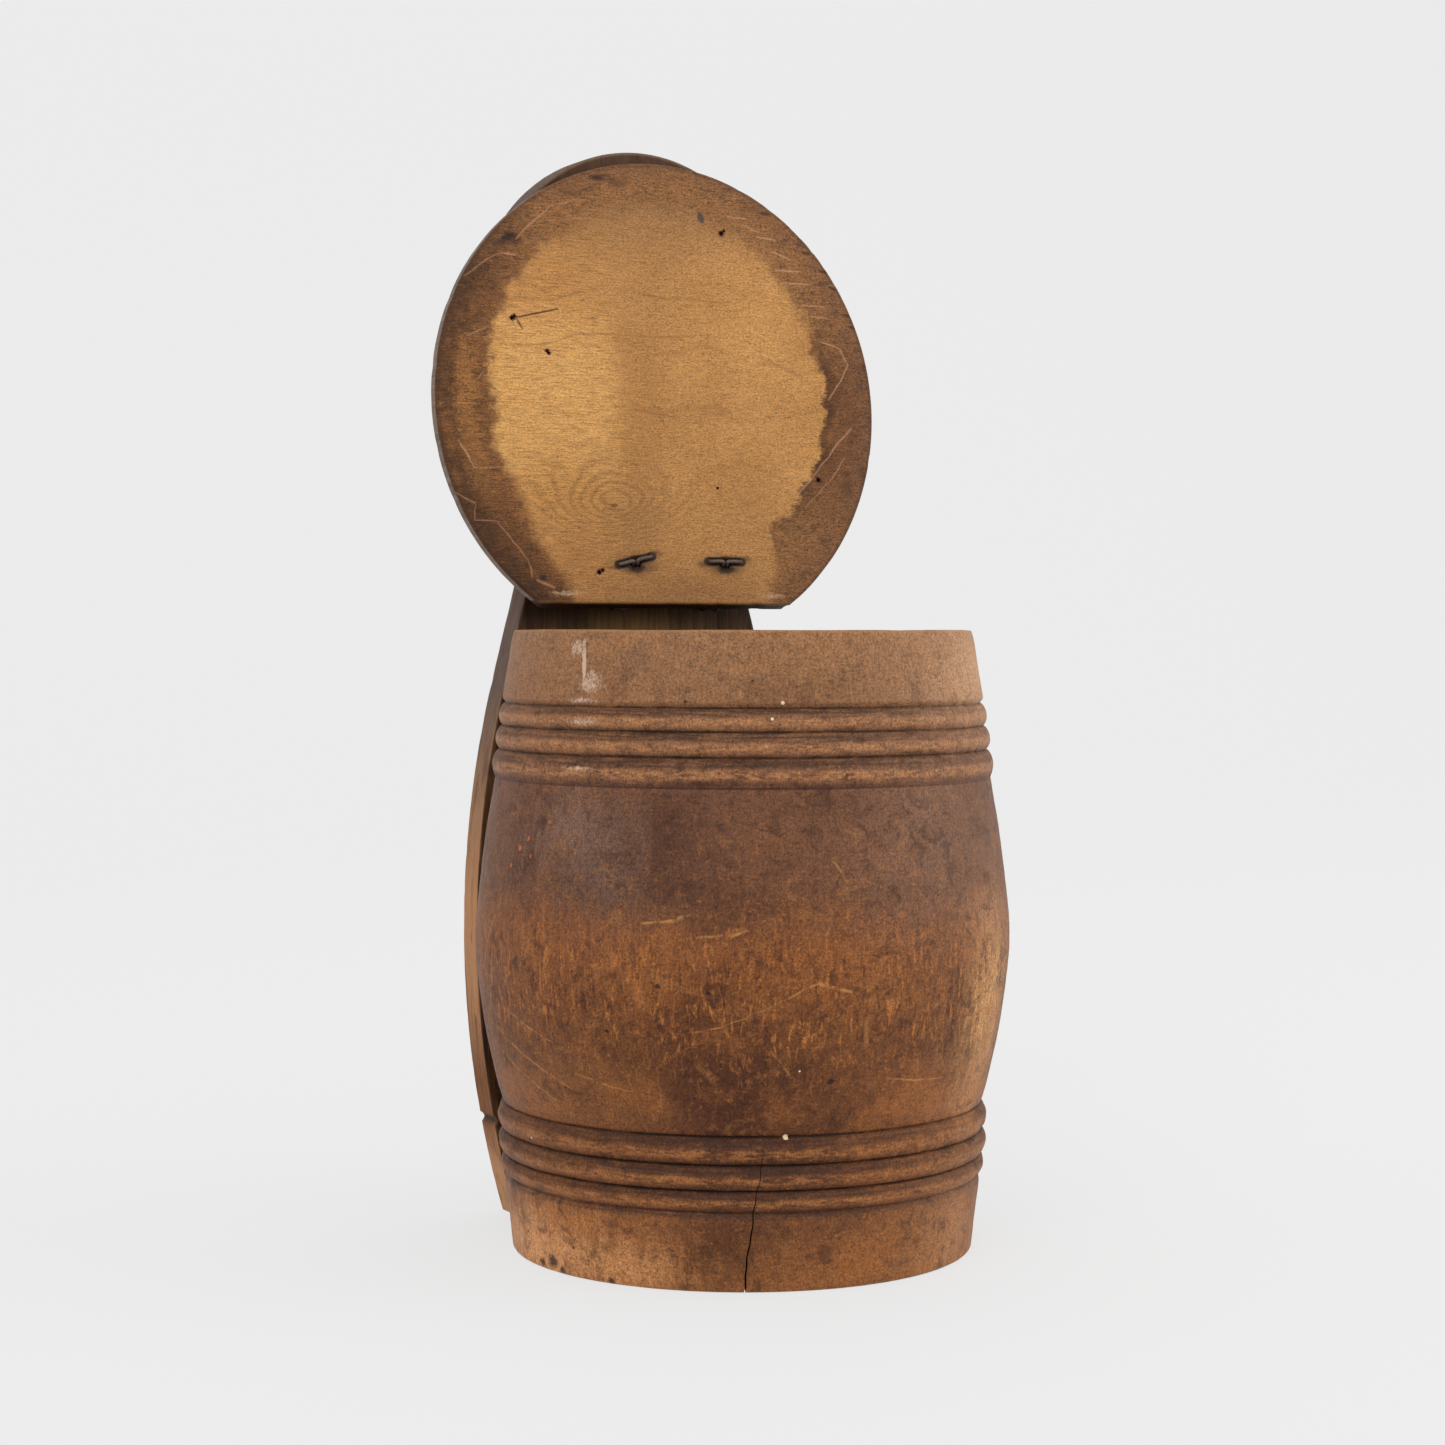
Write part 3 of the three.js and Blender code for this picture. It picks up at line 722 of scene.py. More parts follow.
    # Each kind: its spots, height to width, how ragged, where it starts and is full, strength, colour
    kinds = [
        (crumbs, 1, 0.7, 0.42, 0.56, 1, (226, 208, 172)),
        (burns, 0.8, 1.4, 0.3, 0.85, 0.85, (38, 27, 24)),
        (chips, 1.3, 1.1, 0.4, 0.7, 0.8, (190, 104, 62)),
    ]
    for spots, tall, roughness, start, full, strength, spot_tone in kinds:
        for spot_angle, spot_height, size in spots:
            there = paint.blob(around, z, (spot_angle * SPREAD, spot_height), (size, size * tall))
            colour = colour.tint((there + (pores - 0.5) * roughness).rise(start, full) * strength, spot_tone)

    # The rim's lip is rubbed pale, the wood inside is bare, and the crack's inside is painted near black as
    # shade
    lip = z.rise(171.9, 172.6) * radius.rise(62.5, 63.3)
    colour = colour.tint(lip * 0.35, (176, 134, 96))
    inside = radius.rise(63.4, 62.2)
    bore = radius.rise(56.5, 55.2)
    bare_grain = paint.noise((1.2, 1.2, 16), 4, 0.6)
    bare = paint.tones(bare_grain, [(0.3, (96, 66, 42)), (0.5, (132, 96, 62)), (0.7, (156, 118, 78))])
    rings = paint.noise(3.5, 3, 0.6, place=paint.join(x * 0.25, y * 2.0))
    end_grain = paint.tones(rings, [(0.3, (98, 68, 46)), (0.6, (144, 104, 70))])
    bare = paint.blend(bore, end_grain, bare)
    # The bare wood inside is darker towards the bottom
    darker_low_down = z.rise(60, 12)
    bare = bare.tint(darker_low_down * 0.5, (92, 64, 44))
    colour = paint.blend(inside, colour, bare)
    # Painted shade: the inside of the crack is near black
    crack_shade = z.rise(44, 38) * z.rise(2, 4) * (radius - z * 0.03).rise(63.9, 63.0) * radius.rise(58, 59)
    colour = colour.tint(crack_shade * 0.9, (24, 16, 12))

    rough = 0.56 + (fibre - 0.5) * 0.25 + (patchy - 0.5) * 0.3 + inside * 0.2 + tone * 0.1
    relief = (fibre - 0.5) * 0.10 + (streaky - 0.5) * 0.12 + (pores - 0.5) * 0.10
    relief = relief - scratched * 0.06 - flecks * 0.03
    return paint.finish(colour, rough, relief, specular=0.22)


# ---- Bottom ----

def keg_bottom(material):
    out, back = np.linspace(0.4, BOTTOM_RADIUS - 1, 60), np.linspace(BOTTOM_RADIUS - 1, 0.4, 60)
    under = np.stack([out, BOTTOM_LOW + 0.25 * hump(out, 20, 1.2)], -1)
    edge = [(BOTTOM_RADIUS, BOTTOM_LOW + 1), (BOTTOM_RADIUS, BOTTOM_HIGH - 1)]
    over = np.stack([back, BOTTOM_HIGH - 0.3 * hump(back, 34, 1.0) - 0.15 * hump(back, 3, 2)], -1)
    outline = np.vstack([under, edge, over])
    angles = np.linspace(0, 2 * math.pi, 160, endpoint=False)
    radius, height = outline[:, :1], outline[:, 1:]
    x, y = radius * np.cos(angles), radius * np.sin(angles)
    ripple = 0.12 * grain_noise(x, y, height, 8)
    middle = (BOTTOM_LOW + BOTTOM_HIGH) / 2
    height = height + np.where(height > middle, -ripple, ripple)
    points = np.stack([x, y, np.broadcast_to(height, x.shape)], -1).reshape(-1, 3)
    faces = capped_faces(len(outline), len(angles))
    return make_object("keg_bottom", points, faces, "keg", material, "bottom_disc")


def bottom_paint():
    """Dry bare wood with straight grain, darker towards its edge."""
    paint = Paint("bottom_bare_wood")
    radius = paint.math("SQRT", paint.x * paint.x + paint.y * paint.y)
    grain = paint.noise((18, 1.1, 18), 4, 0.6, 0.15)
    patchy = paint.noise(12, 4, 0.6)
    colour = paint.ramp(grain, [(0.3, srgb(88, 60, 40)), (0.5, srgb(126, 92, 60)), (0.7, srgb(150, 114, 76))])
    colour = paint.blend((radius + (patchy - 0.5) * 24).rise(36, 58) * 0.7, colour, srgb(70, 47, 33))
    colour = paint.blend(patchy.rise(0.55, 0.72) * 0.5, colour, srgb(84, 58, 40))
    relief = (grain - 0.5) * 0.2
    return paint.finish(colour, 0.75 + (patchy - 0.5) * 0.2, relief, specular=0.3)


# ---- Back board ----

def board_outline():
    """Half-width and height up the board's right side, from the foot to the top of the head."""
    lean = math.asin((BOARD_SIDE_TOP_Z - BOARD_BELLY_Z) / BOARD_SIDE_RADIUS)
    foot = math.asin(-BOARD_BELLY_Z / BOARD_SIDE_RADIUS)
    side = arc((BOARD_HALF_WIDTH - BOARD_SIDE_RADIUS, BOARD_BELLY_Z), BOARD_SIDE_RADIUS, foot, lean, 80)
    tangent = np.array([-math.sin(lean), math.cos(lean)])
    outwards = np.array([math.cos(lean), math.sin(lean)])
    start = side[-1] + outwards * NECK_FILLET_RADIUS
    to_start = start - (0, BOARD_HEAD_Z)
    reach = BOARD_HEAD_RADIUS + NECK_FILLET_RADIUS
    along = to_start.dot(tangent)
    travel = -along - math.sqrt(along**2 - to_start.dot(to_start) + reach**2)
    neck = start + tangent * travel
    head_angle = math.atan2(neck[1] - BOARD_HEAD_Z, neck[0])
    fillet = arc(neck, NECK_FILLET_RADIUS, math.pi + lean, head_angle + math.pi, 24)
    head = arc((0, BOARD_HEAD_Z), BOARD_HEAD_RADIUS, head_angle, math.pi / 2, 70)
    return np.vstack([side, fillet[1:], head[1:]])


def back_plank(material):
    outline = board_outline()
    dense_top = BOARD_HEIGHT - np.array([0.02, 0.1, 0.3, 0.6, 1.0, 1.5, 2.2, 3.2, 4.5, 6, 8, 10])[::-1]
    rows = np.concatenate([[0, 0.2, 0.6, 1.2], np.arange(2.5, 26, 2), np.arange(26.5, 31, 0.5),
                           np.arange(32, BOARD_HEIGHT - 11, 2.2), dense_top])
    half = np.interp(rows, outline[:, 1], outline[:, 0])
    half[-1] = max(half[-1], 0.3)
    insets = np.array([0, 0.1, 0.3, 0.65, 1.2, 2.2])
    inner = np.linspace(-1, 1, 30)[1:-1]
    points = []
    for z, width in zip(rows, half):
        nick = 1.2 * max(0, 1 - abs(z - NICK_Z) / 1.3) ** 0.5
        worn = 0.25 * noise.noise(Vector((0, 0, z / 7))) + 0.12 * noise.noise(Vector((3, 0, z / 2)))
        left, right = width - max(0, nick + worn), width - max(0, 0.2 * noise.noise(Vector((9, 0, z / 8))))
        scale = min(1, width / 6)
        edge = insets * scale
        reach = max(width - insets[-1] * scale, 0)
        across = np.concatenate([-left + edge, inner * reach, (right - edge)[::-1]])
        slack = np.minimum(across + left, right - across)
        slack = np.minimum(slack, z if z < 20 else 99)
        if z > BOARD_HEAD_Z:
            slack = np.minimum(slack, BOARD_HEAD_RADIUS - np.hypot(across, z - BOARD_HEAD_Z))
        fall = rounded_off(slack, 0.8)
        wave = 0.12 * grain_noise(across, 0.0, z, 18, 4)
        front = BOARD_FRONT_Y + fall + wave
        back = BOARD_BACK_Y - fall - 0.5 * wave
        across = across + BOARD_X
        between = np.array([0.25, 0.5, 0.75])
        right_side = front[-1] + between * (back[-1] - front[-1])
        left_side = back[0] + between * (front[0] - back[0])
        loop_x = np.concatenate([across, across[[-1] * 3], across[::-1], across[[0] * 3]])
        loop_y = np.concatenate([front, right_side, back[::-1], left_side])
        points.extend((x, y, z) for x, y in zip(loop_x, loop_y))
    faces = capped_faces(len(rows), len(points) // len(rows))
    plank = make_object("back_plank", points, faces, "keg", material, "back_board", 38)
    before, behind = BOARD_FRONT_Y - 4, BOARD_BACK_Y + 5.5
    hole = [(BOARD_X, before, HANGING_HOLE_Z), (BOARD_X, behind, HANGING_HOLE_Z)]
    cutters = [tube(hole, HANGING_HOLE_RADIUS, 48)]
    for z in NAIL_Z.values():
        for side in (-1, 1):
            sunk = [(side * NAIL_X, BOARD_BACK_Y - NAIL_SINK_DEPTH, z), (side * NAIL_X, BOARD_BACK_Y + 2, z)]
            cutters.append(tube(sunk, NAIL_SINK_RADIUS, 24))
    for x in HINGE_X.values():
        seat_y = BOARD_SEAT_Y + 0.2
        seat = [(x, seat_y, PIVOT_Z - SEAT_REACH), (x, seat_y, PIVOT_Z + SEAT_REACH)]
        cutters.append(tube(seat, BOARD_SEAT_RADIUS, 16))
        cutters.append(tube([(x, before, PIVOT_Z), (x, behind, PIVOT_Z)], BOARD_HINGE_HOLE_RADIUS, 20))
    for x, z in ((-30, 120), (22, 96), (-12, 60), (35, 50), (28, 240), (-26, 270), (8, 20)):
        cutters.append(hole_cutter((x, BOARD_BACK_Y, z), (0.2, -1, 0.3), 0.8, 5))
    carve(plank, cutters)
    return plank


def board_paint():
    """A sawn plank with upright grain: near black on its faces, rubbed orange brown along its sides."""
    paint = Paint("board_patina")
    y, z = paint.y, paint.z
    x = paint.x - BOARD_X
    patchy = paint.noise((9, 9, 14), 4, 0.6)
    warped = paint.join(x + (patchy - 0.5) * 5, y, z)
    grain = paint.noise((2.0, 2.5, 40), 4, 0.6, 0.2, warped)
    fibre = paint.noise((0.6, 0.5, 8), 3, 0.6)
    streaks = paint.noise((1.2, 1.2, 22), 4, 0.65, 0.4)

    # Faces
    face = paint.tones(grain, [(0.3, (58, 40, 30)), (0.5, (82, 58, 40)), (0.7, (104, 76, 52))])
    face = face.tint(streaks.rise(0.56, 0.7) * 0.5, (126, 98, 60))
    face = face.tint(streaks.rise(0.46, 0.34) * 0.6, (42, 28, 22))
    face = face.tint(patchy.rise(0.56, 0.7) * 0.5, (48, 32, 25))
    face = face.tint(z.rise(285, 302) * 0.65, (88, 66, 52))
    # Painted light on the neck's front between keg and lid, lifting the shade that falls there
    neck = paint.blob(x, z, (2, 180), (22, 16)) * (0.5 + streaks.rise(0.4, 0.56) * 0.5) * y.rise(66, 64.6)
    face = face.tint(neck * 0.8, (158, 122, 76))
    left_of_neck = x.rise(-20, -32) * z.rise(168, 178)
    face = face.tint(left_of_neck * 0.5, (60, 42, 30))

    # The two long sides change colour up their height; the head's rim is greyer
    level = (z + (patchy - 0.5) * 18) / BOARD_HEIGHT
    pale, dark, grey = (170, 122, 84), (120, 76, 44), (96, 78, 68)
    side_tones = [(14, pale), (28, dark), (42, dark), (68, pale), (95, pale), (155, grey), (310, grey)]
    side = paint.tones(level, [(height / BOARD_HEIGHT, tone) for height, tone in side_tones])
    side = side.tint(grain.rise(0.48, 0.34) * 0.5, (88, 56, 38))
    from_belly = z - BOARD_BELLY_Z
    half_width = BOARD_HALF_WIDTH - from_belly * from_belly / (2 * BOARD_SIDE_RADIUS)
    at_side = (x.size() - half_width).rise(-1.0, -0.5) * z.rise(205, 195) * (y - BOARD_FRONT_Y).rise(0.2, 0.7)
    head_up = z - BOARD_HEAD_Z
    from_head = paint.math("SQRT", x * x + head_up * head_up) - BOARD_HEAD_RADIUS
    at_side = at_side.most(from_head.rise(-1.2, -0.4) * z.rise(220, 232))
    colour = paint.blend(at_side, face, side)
    # Painted highlight: a thin pale line along the front arris of the sides, fainter round the head
    arris_highlight = at_side * (y - BOARD_FRONT_Y).rise(1.1, 0.2) * z.rise(215, 195).most(0.3)
    colour = colour.tint(arris_highlight * 0.4, (196, 156, 116))
    colour = colour.tint(patchy.rise(0.6, 0.72) * 0.35, (52, 35, 27))
    colour = paint.shade(colour, 0.62 + fibre * 0.4 + grain * 0.36)
    nick = paint.blob(z, z, (28.4, 28.4), (2.2, 2.2)) * x.rise(-44, -47)
    colour = colour.tint(nick * 0.6, (58, 36, 24))
    # Painted shadow of the lid on the board's front, just under the lid
    lid_shadow = paint.blob(z, z, (178, 178), (5, 5)) * y.rise(66, 64.5)
    colour = colour.tint(lid_shadow * 0.5, (40, 27, 20))
    sawn = paint.math("SINE", z * 2.1 + (patchy - 0.5) * 12) * y.rise(73.5, 74.3)
    relief = (fibre - 0.5) * 0.14 + (grain - 0.5) * 0.2 + sawn * 0.03
    rough = 0.6 + (patchy - 0.5) * 0.3 + (fibre - 0.5) * 0.2
    return paint.finish(colour, rough, relief, specular=0.22)


# ---- Lid ----

def lid_place(x, up, deep):
    """Lid coordinates, along its back edge, up from it and in from its underside, in the frame."""
    from_up, from_deep = up - CHORD_BEHIND_PIVOT, deep - PIVOT_DEPTH
    y = PIVOT_Y + from_up * LEAN_SINE + from_deep * LEAN_COSINE
    z = PIVOT_Z + from_up * LEAN_COSINE - from_deep * LEAN_SINE
    return np.stack(np.broadcast_arrays(x, y, z), -1)


def lid_axes(paint):
    """How far up the open lid from its back edge, and how deep in from its underside, a material is."""
    from_pivot = paint.join(paint.x, paint.y - PIVOT_Y, paint.z - PIVOT_Z)
    up = paint.vector_math("DOT_PRODUCT", from_pivot, (0, LEAN_SINE, LEAN_COSINE)) + CHORD_BEHIND_PIVOT
    deep = paint.vector_math("DOT_PRODUCT", from_pivot, (0, LEAN_COSINE, -LEAN_SINE)) + PIVOT_DEPTH
    return up, deep


def lid_outside(radius):
    """The turned outer face's height above the underside."""
    boss = LID_EDGE + (LID_BOSS - LID_EDGE) * smoothstep(radius, LID_BOSS_FOOT, LID_BOSS_RADIUS - 1)
    scribed = 0.35 * hump(radius, SCRIBED_RADII[0], 0.8) + 0.3 * hump(radius, SCRIBED_RADII[1], 0.7)
    return boss - scribed


def lid_panel(material):
    corner = math.acos(LID_CHORD / LID_RADIUS)
    angles = np.linspace(-math.pi / 2, 1.5 * math.pi, 300, endpoint=False)
    for exact in (-math.pi / 2 + corner, 1.5 * math.pi - corner):
        angles[np.argmin(np.abs(angles - exact))] = exact
    downwards = np.maximum(-np.sin(angles), 1e-6)
    nicks = 0.7 * np.clip(grain_noise(20 * np.cos(angles), 20 * np.sin(angles), 0.0, 1.6, 7) - 0.62, 0, 1)
    insets = np.array([0, 0.1, 0.3, 0.6, 1.0, 1.6, 2.4])
    rings = np.concatenate([insets, np.linspace(3.4, 70.8, 34)])
    share = np.clip(1 - rings / LID_RADIUS, 0.012, 1)[:, None]

    def spread(deep):
        """Places on the lid at one depth, from its rim inwards, and how far each is from the rim."""
        chord = LID_CHORD + deep * math.tan(LID_CHORD_BEVEL)
        reach = np.minimum(LID_RADIUS, chord / downwards) - nicks
        x = LID_X + share * reach * np.cos(angles)
        up = LID_CHORD + share * reach * np.sin(angles)
        return x, up, reach * (1 - share)

    x, up, to_edge = spread(0)
    outer_x, outer_up, outer_to_edge = spread(LID_EDGE)
    radius = np.hypot(x - LID_X, up - LID_CHORD)
    outer_radius = np.hypot(outer_x - LID_X, outer_up - LID_CHORD)
    wave = 0.12 * grain_noise(x / 3, up, 0.0, 6, 1)
    towards = np.degrees(np.arctan2(up - LID_CHORD, x))
    chattered = hump(towards, 42, 16) * smoothstep(radius, 58, 66)
    chatter = 0.25 * chattered * np.clip(np.sin(up * 1.35 + 0.6 * np.sin(x * 0.3)), 0, 1) ** 2
    under = rounded_off(to_edge, 0.6) + wave + chatter
    outer = lid_outside(outer_radius) - rounded_off(outer_to_edge, 1.6)
    outer = outer - 0.08 * grain_noise(outer_x, outer_up, 0.0, 9, 2)
    rows = []
    for inside, outside in zip((x, up, under), (outer_x, outer_up, outer)):
        between = [inside[0] + t * (outside[0] - inside[0]) for t in (0.25, 0.5, 0.75)]
        rows.append(np.vstack([inside[::-1], between, outside]))
    points = lid_place(*rows).reshape(-1, 3)
    faces = capped_faces(len(rows[0]), len(angles))
    panel = make_object("lid_panel", points, faces, "lid", material, "lid", 38)
    cutters = []
    for hole_x, hole_up, size, depth in WORM_HOLES:
        inwards = lid_place(0.15 * math.sin(7 * hole_x), 0.2 * math.cos(5 * hole_up), 1.0)
        inwards = inwards - lid_place(0.0, 0.0, 0.0)
        cutters.append(hole_cutter(lid_place(hole_x, hole_up, 0.0), inwards, size, depth))
    for side_name, hinge_x in HINGE_X.items():
        start, end = pivot_place(hinge_x, 0, 0), pivot_place(hinge_x, *shank(1.12))
        for offset in (-HALF_SPACING, 0, HALF_SPACING):
            step = np.array([offset, 0, 0])
            cutters.append(tube([start + step, end + step], WIRE_RADIUS + 0.3, 12))
        swing = EYE_RADIUS + WIRE_RADIUS + 0.3
        cutters.append(tube([pivot_place(hinge_x - 1, 0, 0), pivot_place(hinge_x + 1, 0, 0)], swing, 32))
        half_seat = CLINCH_REACH + 1
        seat = [clinch_place(side_name, 0, out, -CLINCH_PROUD) for out in (-half_seat, half_seat)]
        cutters.append(tube(seat, WIRE_RADIUS + 0.2, 12))
    carve(panel, cutters)
    return panel


# Holes in the lid's underside: along its back edge, up from it, radius, depth
WORM_HOLES = [
    (-47.0, 82.6, 0.55, 3.0), (-46.3, 83.2, 0.4, 2.0), (-36.2, 73.5, 0.45, 3.5), (-35.7, 72.9, 0.4, 2.0),
    (22.0, 111.6, 0.6, 3.0), (22.9, 112.4, 0.35, 2.0), (52.9, 38.2, 0.6, 3.5), (-21.4, 9.2, 0.55, 3.0),
    (-20.3, 9.8, 0.4, 2.0), (18.3, 34.8, 0.3, 1.5),
]

# Colours of the lid's border where it starts, halfway out and at the rim
BORDER_TONES = {
    "streaked": ((114, 78, 50), (150, 104, 62), (98, 68, 46)),
    "smoked": ((126, 86, 56), (106, 72, 48), (82, 58, 42)),
    "handled": ((136, 96, 62), (138, 97, 62), (128, 90, 60)),
    "scorched": ((94, 64, 42), (112, 76, 50), (114, 80, 56)),
}

# Round the lid in degrees from the viewer's right, growing upwards: how far out the stain starts,
# how soft its start is, and its tone. It dies out along the back edge.
STAINED_BORDER = [(-180, 55, 2.2, "streaked"), (-145, 54, 3, "smoked"), (-120, 62, 3, "smoked"),
                  (-112, 75, 3, "smoked"), (-66, 75, 5, "handled"), (-45, 50, 1.5, "handled"),
                  (-15, 54, 1.1, "scorched"), (10, 56, 1.1, "scorched"), (32, 56, 3, "handled"),
                  (80, 59, 5, "handled"), (125, 58, 3, "handled"), (150, 58, 2, "smoked"),
                  (180, 55, 2.2, "streaked")]


def lid_paint():
    """Ochre bare wood inside a ragged brown border, with sideways grain round one small knot."""
    paint = Paint("lid_wood")
    x = paint.x
    up, deep = lid_axes(paint)
    plane = paint.place = paint.join(x, up)
    across, centred_up = x - LID_X, up - LID_CHORD
    radius = paint.math("SQRT", across * across + centred_up * centred_up)
    turn = paint.math("ARCTAN2", centred_up, across) / (2 * math.pi) + 0.5

    patchy = paint.noise(8, 4, 0.6)
    cloudy = paint.noise(24, 3, 0.5)
    dashes = paint.noise((5.0, 0.5, 1), 4, 0.62, 0.5)
    curls = paint.noise((1.5, 0.75, 1), 3, 0.62, 1.6)
    grit = paint.noise(0.55, 3, 0.65)
    specks = paint.noise((0.8, 0.42, 1), 2, 0.7)
    hairs = paint.noise((3.4, 0.42, 1), 3, 0.6, 1.0)
    bleeding = paint.noise((5, 2.6, 1), 5, 0.72, 0.8)
    curly = (x + (patchy - 0.5) * 20).rise(-22, 4)
    figure = dashes * (1 - curly) + curls * curly

    # Growth lines run sideways and close up into ovals round the knot
    knot = paint.blob(x, up, (-16, 29), (20, 11)) * 34
    level = up + knot + (cloudy - 0.5) * 20 + (patchy - 0.5) * 4
    growth = paint.math("SINE", level * 1.45 + (figure - 0.5) * 3)
    faint = paint.math("SINE", level * 0.34 + 0.9)

    core = paint.tones(cloudy, [(0.35, (176, 127, 76)), (0.65, (190, 140, 86))])
    bright = (x + (patchy - 0.5) * 7).rise(-9, -19)
    bright = bright * (up + (patchy - 0.5) * 24).rise(92, 74) * up.rise(20, 46)
    core = core.tint(bright * 0.8, (206, 156, 95))
    places = [
        (-5, 62, 9, 42, (164, 117, 70), 0.55), (-10, 24, 9, 12, (156, 114, 74), 0.7),
        (-4, 92, 15, 16, (168, 122, 76), 0.5), (-30, 34, 16, 9, (178, 128, 74), 0.6),
        (0, 119, 48, 8, (136, 101, 70), 0.8), (-6, 110, 40, 10, (152, 110, 72), 0.6),
        (6, 3, 44, 8, (152, 109, 72), 0.75), (26, 24, 22, 12, (170, 124, 78), 0.5),
        (-26, 14, 14, 9, (164, 114, 70), 0.6), (18, 58, 14, 3.5, (164, 118, 74), 0.4),
        (-38, 94, 12, 9, (174, 122, 72), 0.5), (30, 78, 14, 12, (192, 142, 86), 0.5),
    ]
    core = paint.stain(core, x, up, places)
    ringed = paint.blob(x, up, (-22, 32), (26, 13))
    core = core.tint(growth.rise(-0.2, 1.0) * (ringed * 0.36 + 0.05), (128, 88, 54))
    core = core.tint(faint.rise(0.9, 1.0) * 0.12, (128, 84, 50))
    core = core.tint(figure.rise(0.46, 0.34) * 0.34, (134, 92, 54))
    fine = grit.stark() * 0.3 + specks.stark() * 0.5 + figure.stark() * 0.3 + hairs.stark() * 0.3
    core = paint.shade(core, fine + 0.3)
    eye = paint.blob(x, up, (-16.1, 28.9), (1.5, 0.7)).rise(0.2, 0.8)
    core = core.tint(eye * 0.7, (92, 62, 40))
    growth_lines = [
        (-53, 86, -42, 89, 0.56, 1), (-42, 89, -20, 91.2, 0.48, 1), (-6, 92.4, 3, 89.6, 0.56, 1),
        (3, 89.6, 24, 91.4, 0.48, 1), (-46, 75.5, -27, 79.4, 0.56, 1), (-27, 79.4, -12, 80.2, 0.64, 1),
        (-12, 80.2, 12, 79.2, 0.48, 1), (34, 76.5, 48, 68.4, 0.48, 1), (-8, 57, 6, 56, 0.8, 1),
        (-1, 57.4, 1.4, 52.6, 0.8, 1),
    ]
    gentle = paint.noise(22, 0)
    wandering = paint.vector_math("ADD", plane, paint.join(0.0, (gentle - 0.5) * 9 + (figure - 0.5) * 1.6))
    core = core.tint(paint.marks(wandering, growth_lines) * 0.4, (124, 82, 48))

    # The stained border
    def round_the_lid(part):
        return paint.ramp(turn, [(row[0] / 360 + 0.5, part(row)) for row in STAINED_BORDER])

    # A ramp holds 0 to 1, so the two lengths are scaled down to go through it
    most_start, most_softness = 80, 8
    shape = round_the_lid(lambda row: (row[1] / most_start, row[2] / most_softness, 0, 1))
    start, softness, _ = paint.split(shape)
    start, softness = start * most_start, softness * most_softness
    rough_start = (patchy - 0.5) * 11 + (bleeding - 0.5) * 4 + (dashes - 0.5) * 4
    out = radius - start + rough_start
    edge = ((out / softness) * 0.5 + 0.5).rise(0, 1)
    share = out / (LID_RADIUS - start)
    near, middle, far = [round_the_lid(lambda row: seen(*BORDER_TONES[row[3]][band])) for band in range(3)]
    stain = paint.blend(share.rise(0.12, 0.38), near, middle)
    stain = paint.blend((share + (bleeding - 0.5) * 0.3).rise(0.5, 0.78), stain, far)
    stain = stain.tint(bleeding.rise(0.5, 0.68) * 0.3, (84, 55, 40))
    stain = stain.tint(patchy.rise(0.54, 0.68) * 0.3, (150, 100, 62))
    blots = [
        (-47.5, 106.5, 3.4, 2.6, 0.85), (-44.8, 104.8, 2.0, 2.2, 0.5), (-18.3, 125.3, 3.2, 1.3, 0.8),
        (-12, 124.5, 5, 1.4, 0.35), (-61, 80, 2.4, 3.5, 0.35), (-39.5, 7.5, 1.6, 1.4, 0.7),
        (63, 36, 3, 4, 0.35),
    ]
    for place_x, place_up, wide, high, strength in blots:
        blot = paint.blob(x, up, (place_x, place_up), (wide, high)) + (grit - 0.5) * 0.8
        blot = blot + (bleeding - 0.5) * 1.6
        stain = stain.tint(blot.rise(0.25, 0.9) * strength, (42, 35, 36))
    smoky = paint.noise((7, 3.5, 1), 5, 0.75, 1.2)
    stain = stain.tint(smoky.rise(0.52, 0.64) * 0.45, (62, 44, 38))
    stain = stain.tint(smoky.rise(0.44, 0.32) * 0.35, (166, 108, 62))
    stain = paint.shade(stain, fine * 1.5 - 0.05)
    colour = paint.blend(edge, core, stain)
    crisp = softness.rise(3, 1.4)
    tide = out.rise(-0.6, 0.3) * out.rise(3.2, 0.8) * crisp
    colour = colour.tint(tide * 0.3 * bleeding.rise(0.35, 0.6), (70, 44, 32))
    colour = colour.tint(radius.rise(70.4, 71.2) * 0.4, (74, 54, 44))
    tears = [
        (37, 118.6, 2.6), (51, 107.4, 2.0), (57, 102, 2.2), (64.6, 89, 1.6), (66.8, 85.4, 2.6),
        (70.6, 73.6, 0.9), (60, 97, 1.2),
    ]
    for tear_x, tear_up, long in tears:
        tear = paint.blob(x + (up - tear_up) * 1.3, up, (tear_x, tear_up), (long, 0.75)) + (grit - 0.5) * 0.5
        colour = colour.tint(tear.rise(0.35, 0.8) * 0.7, (62, 42, 32))

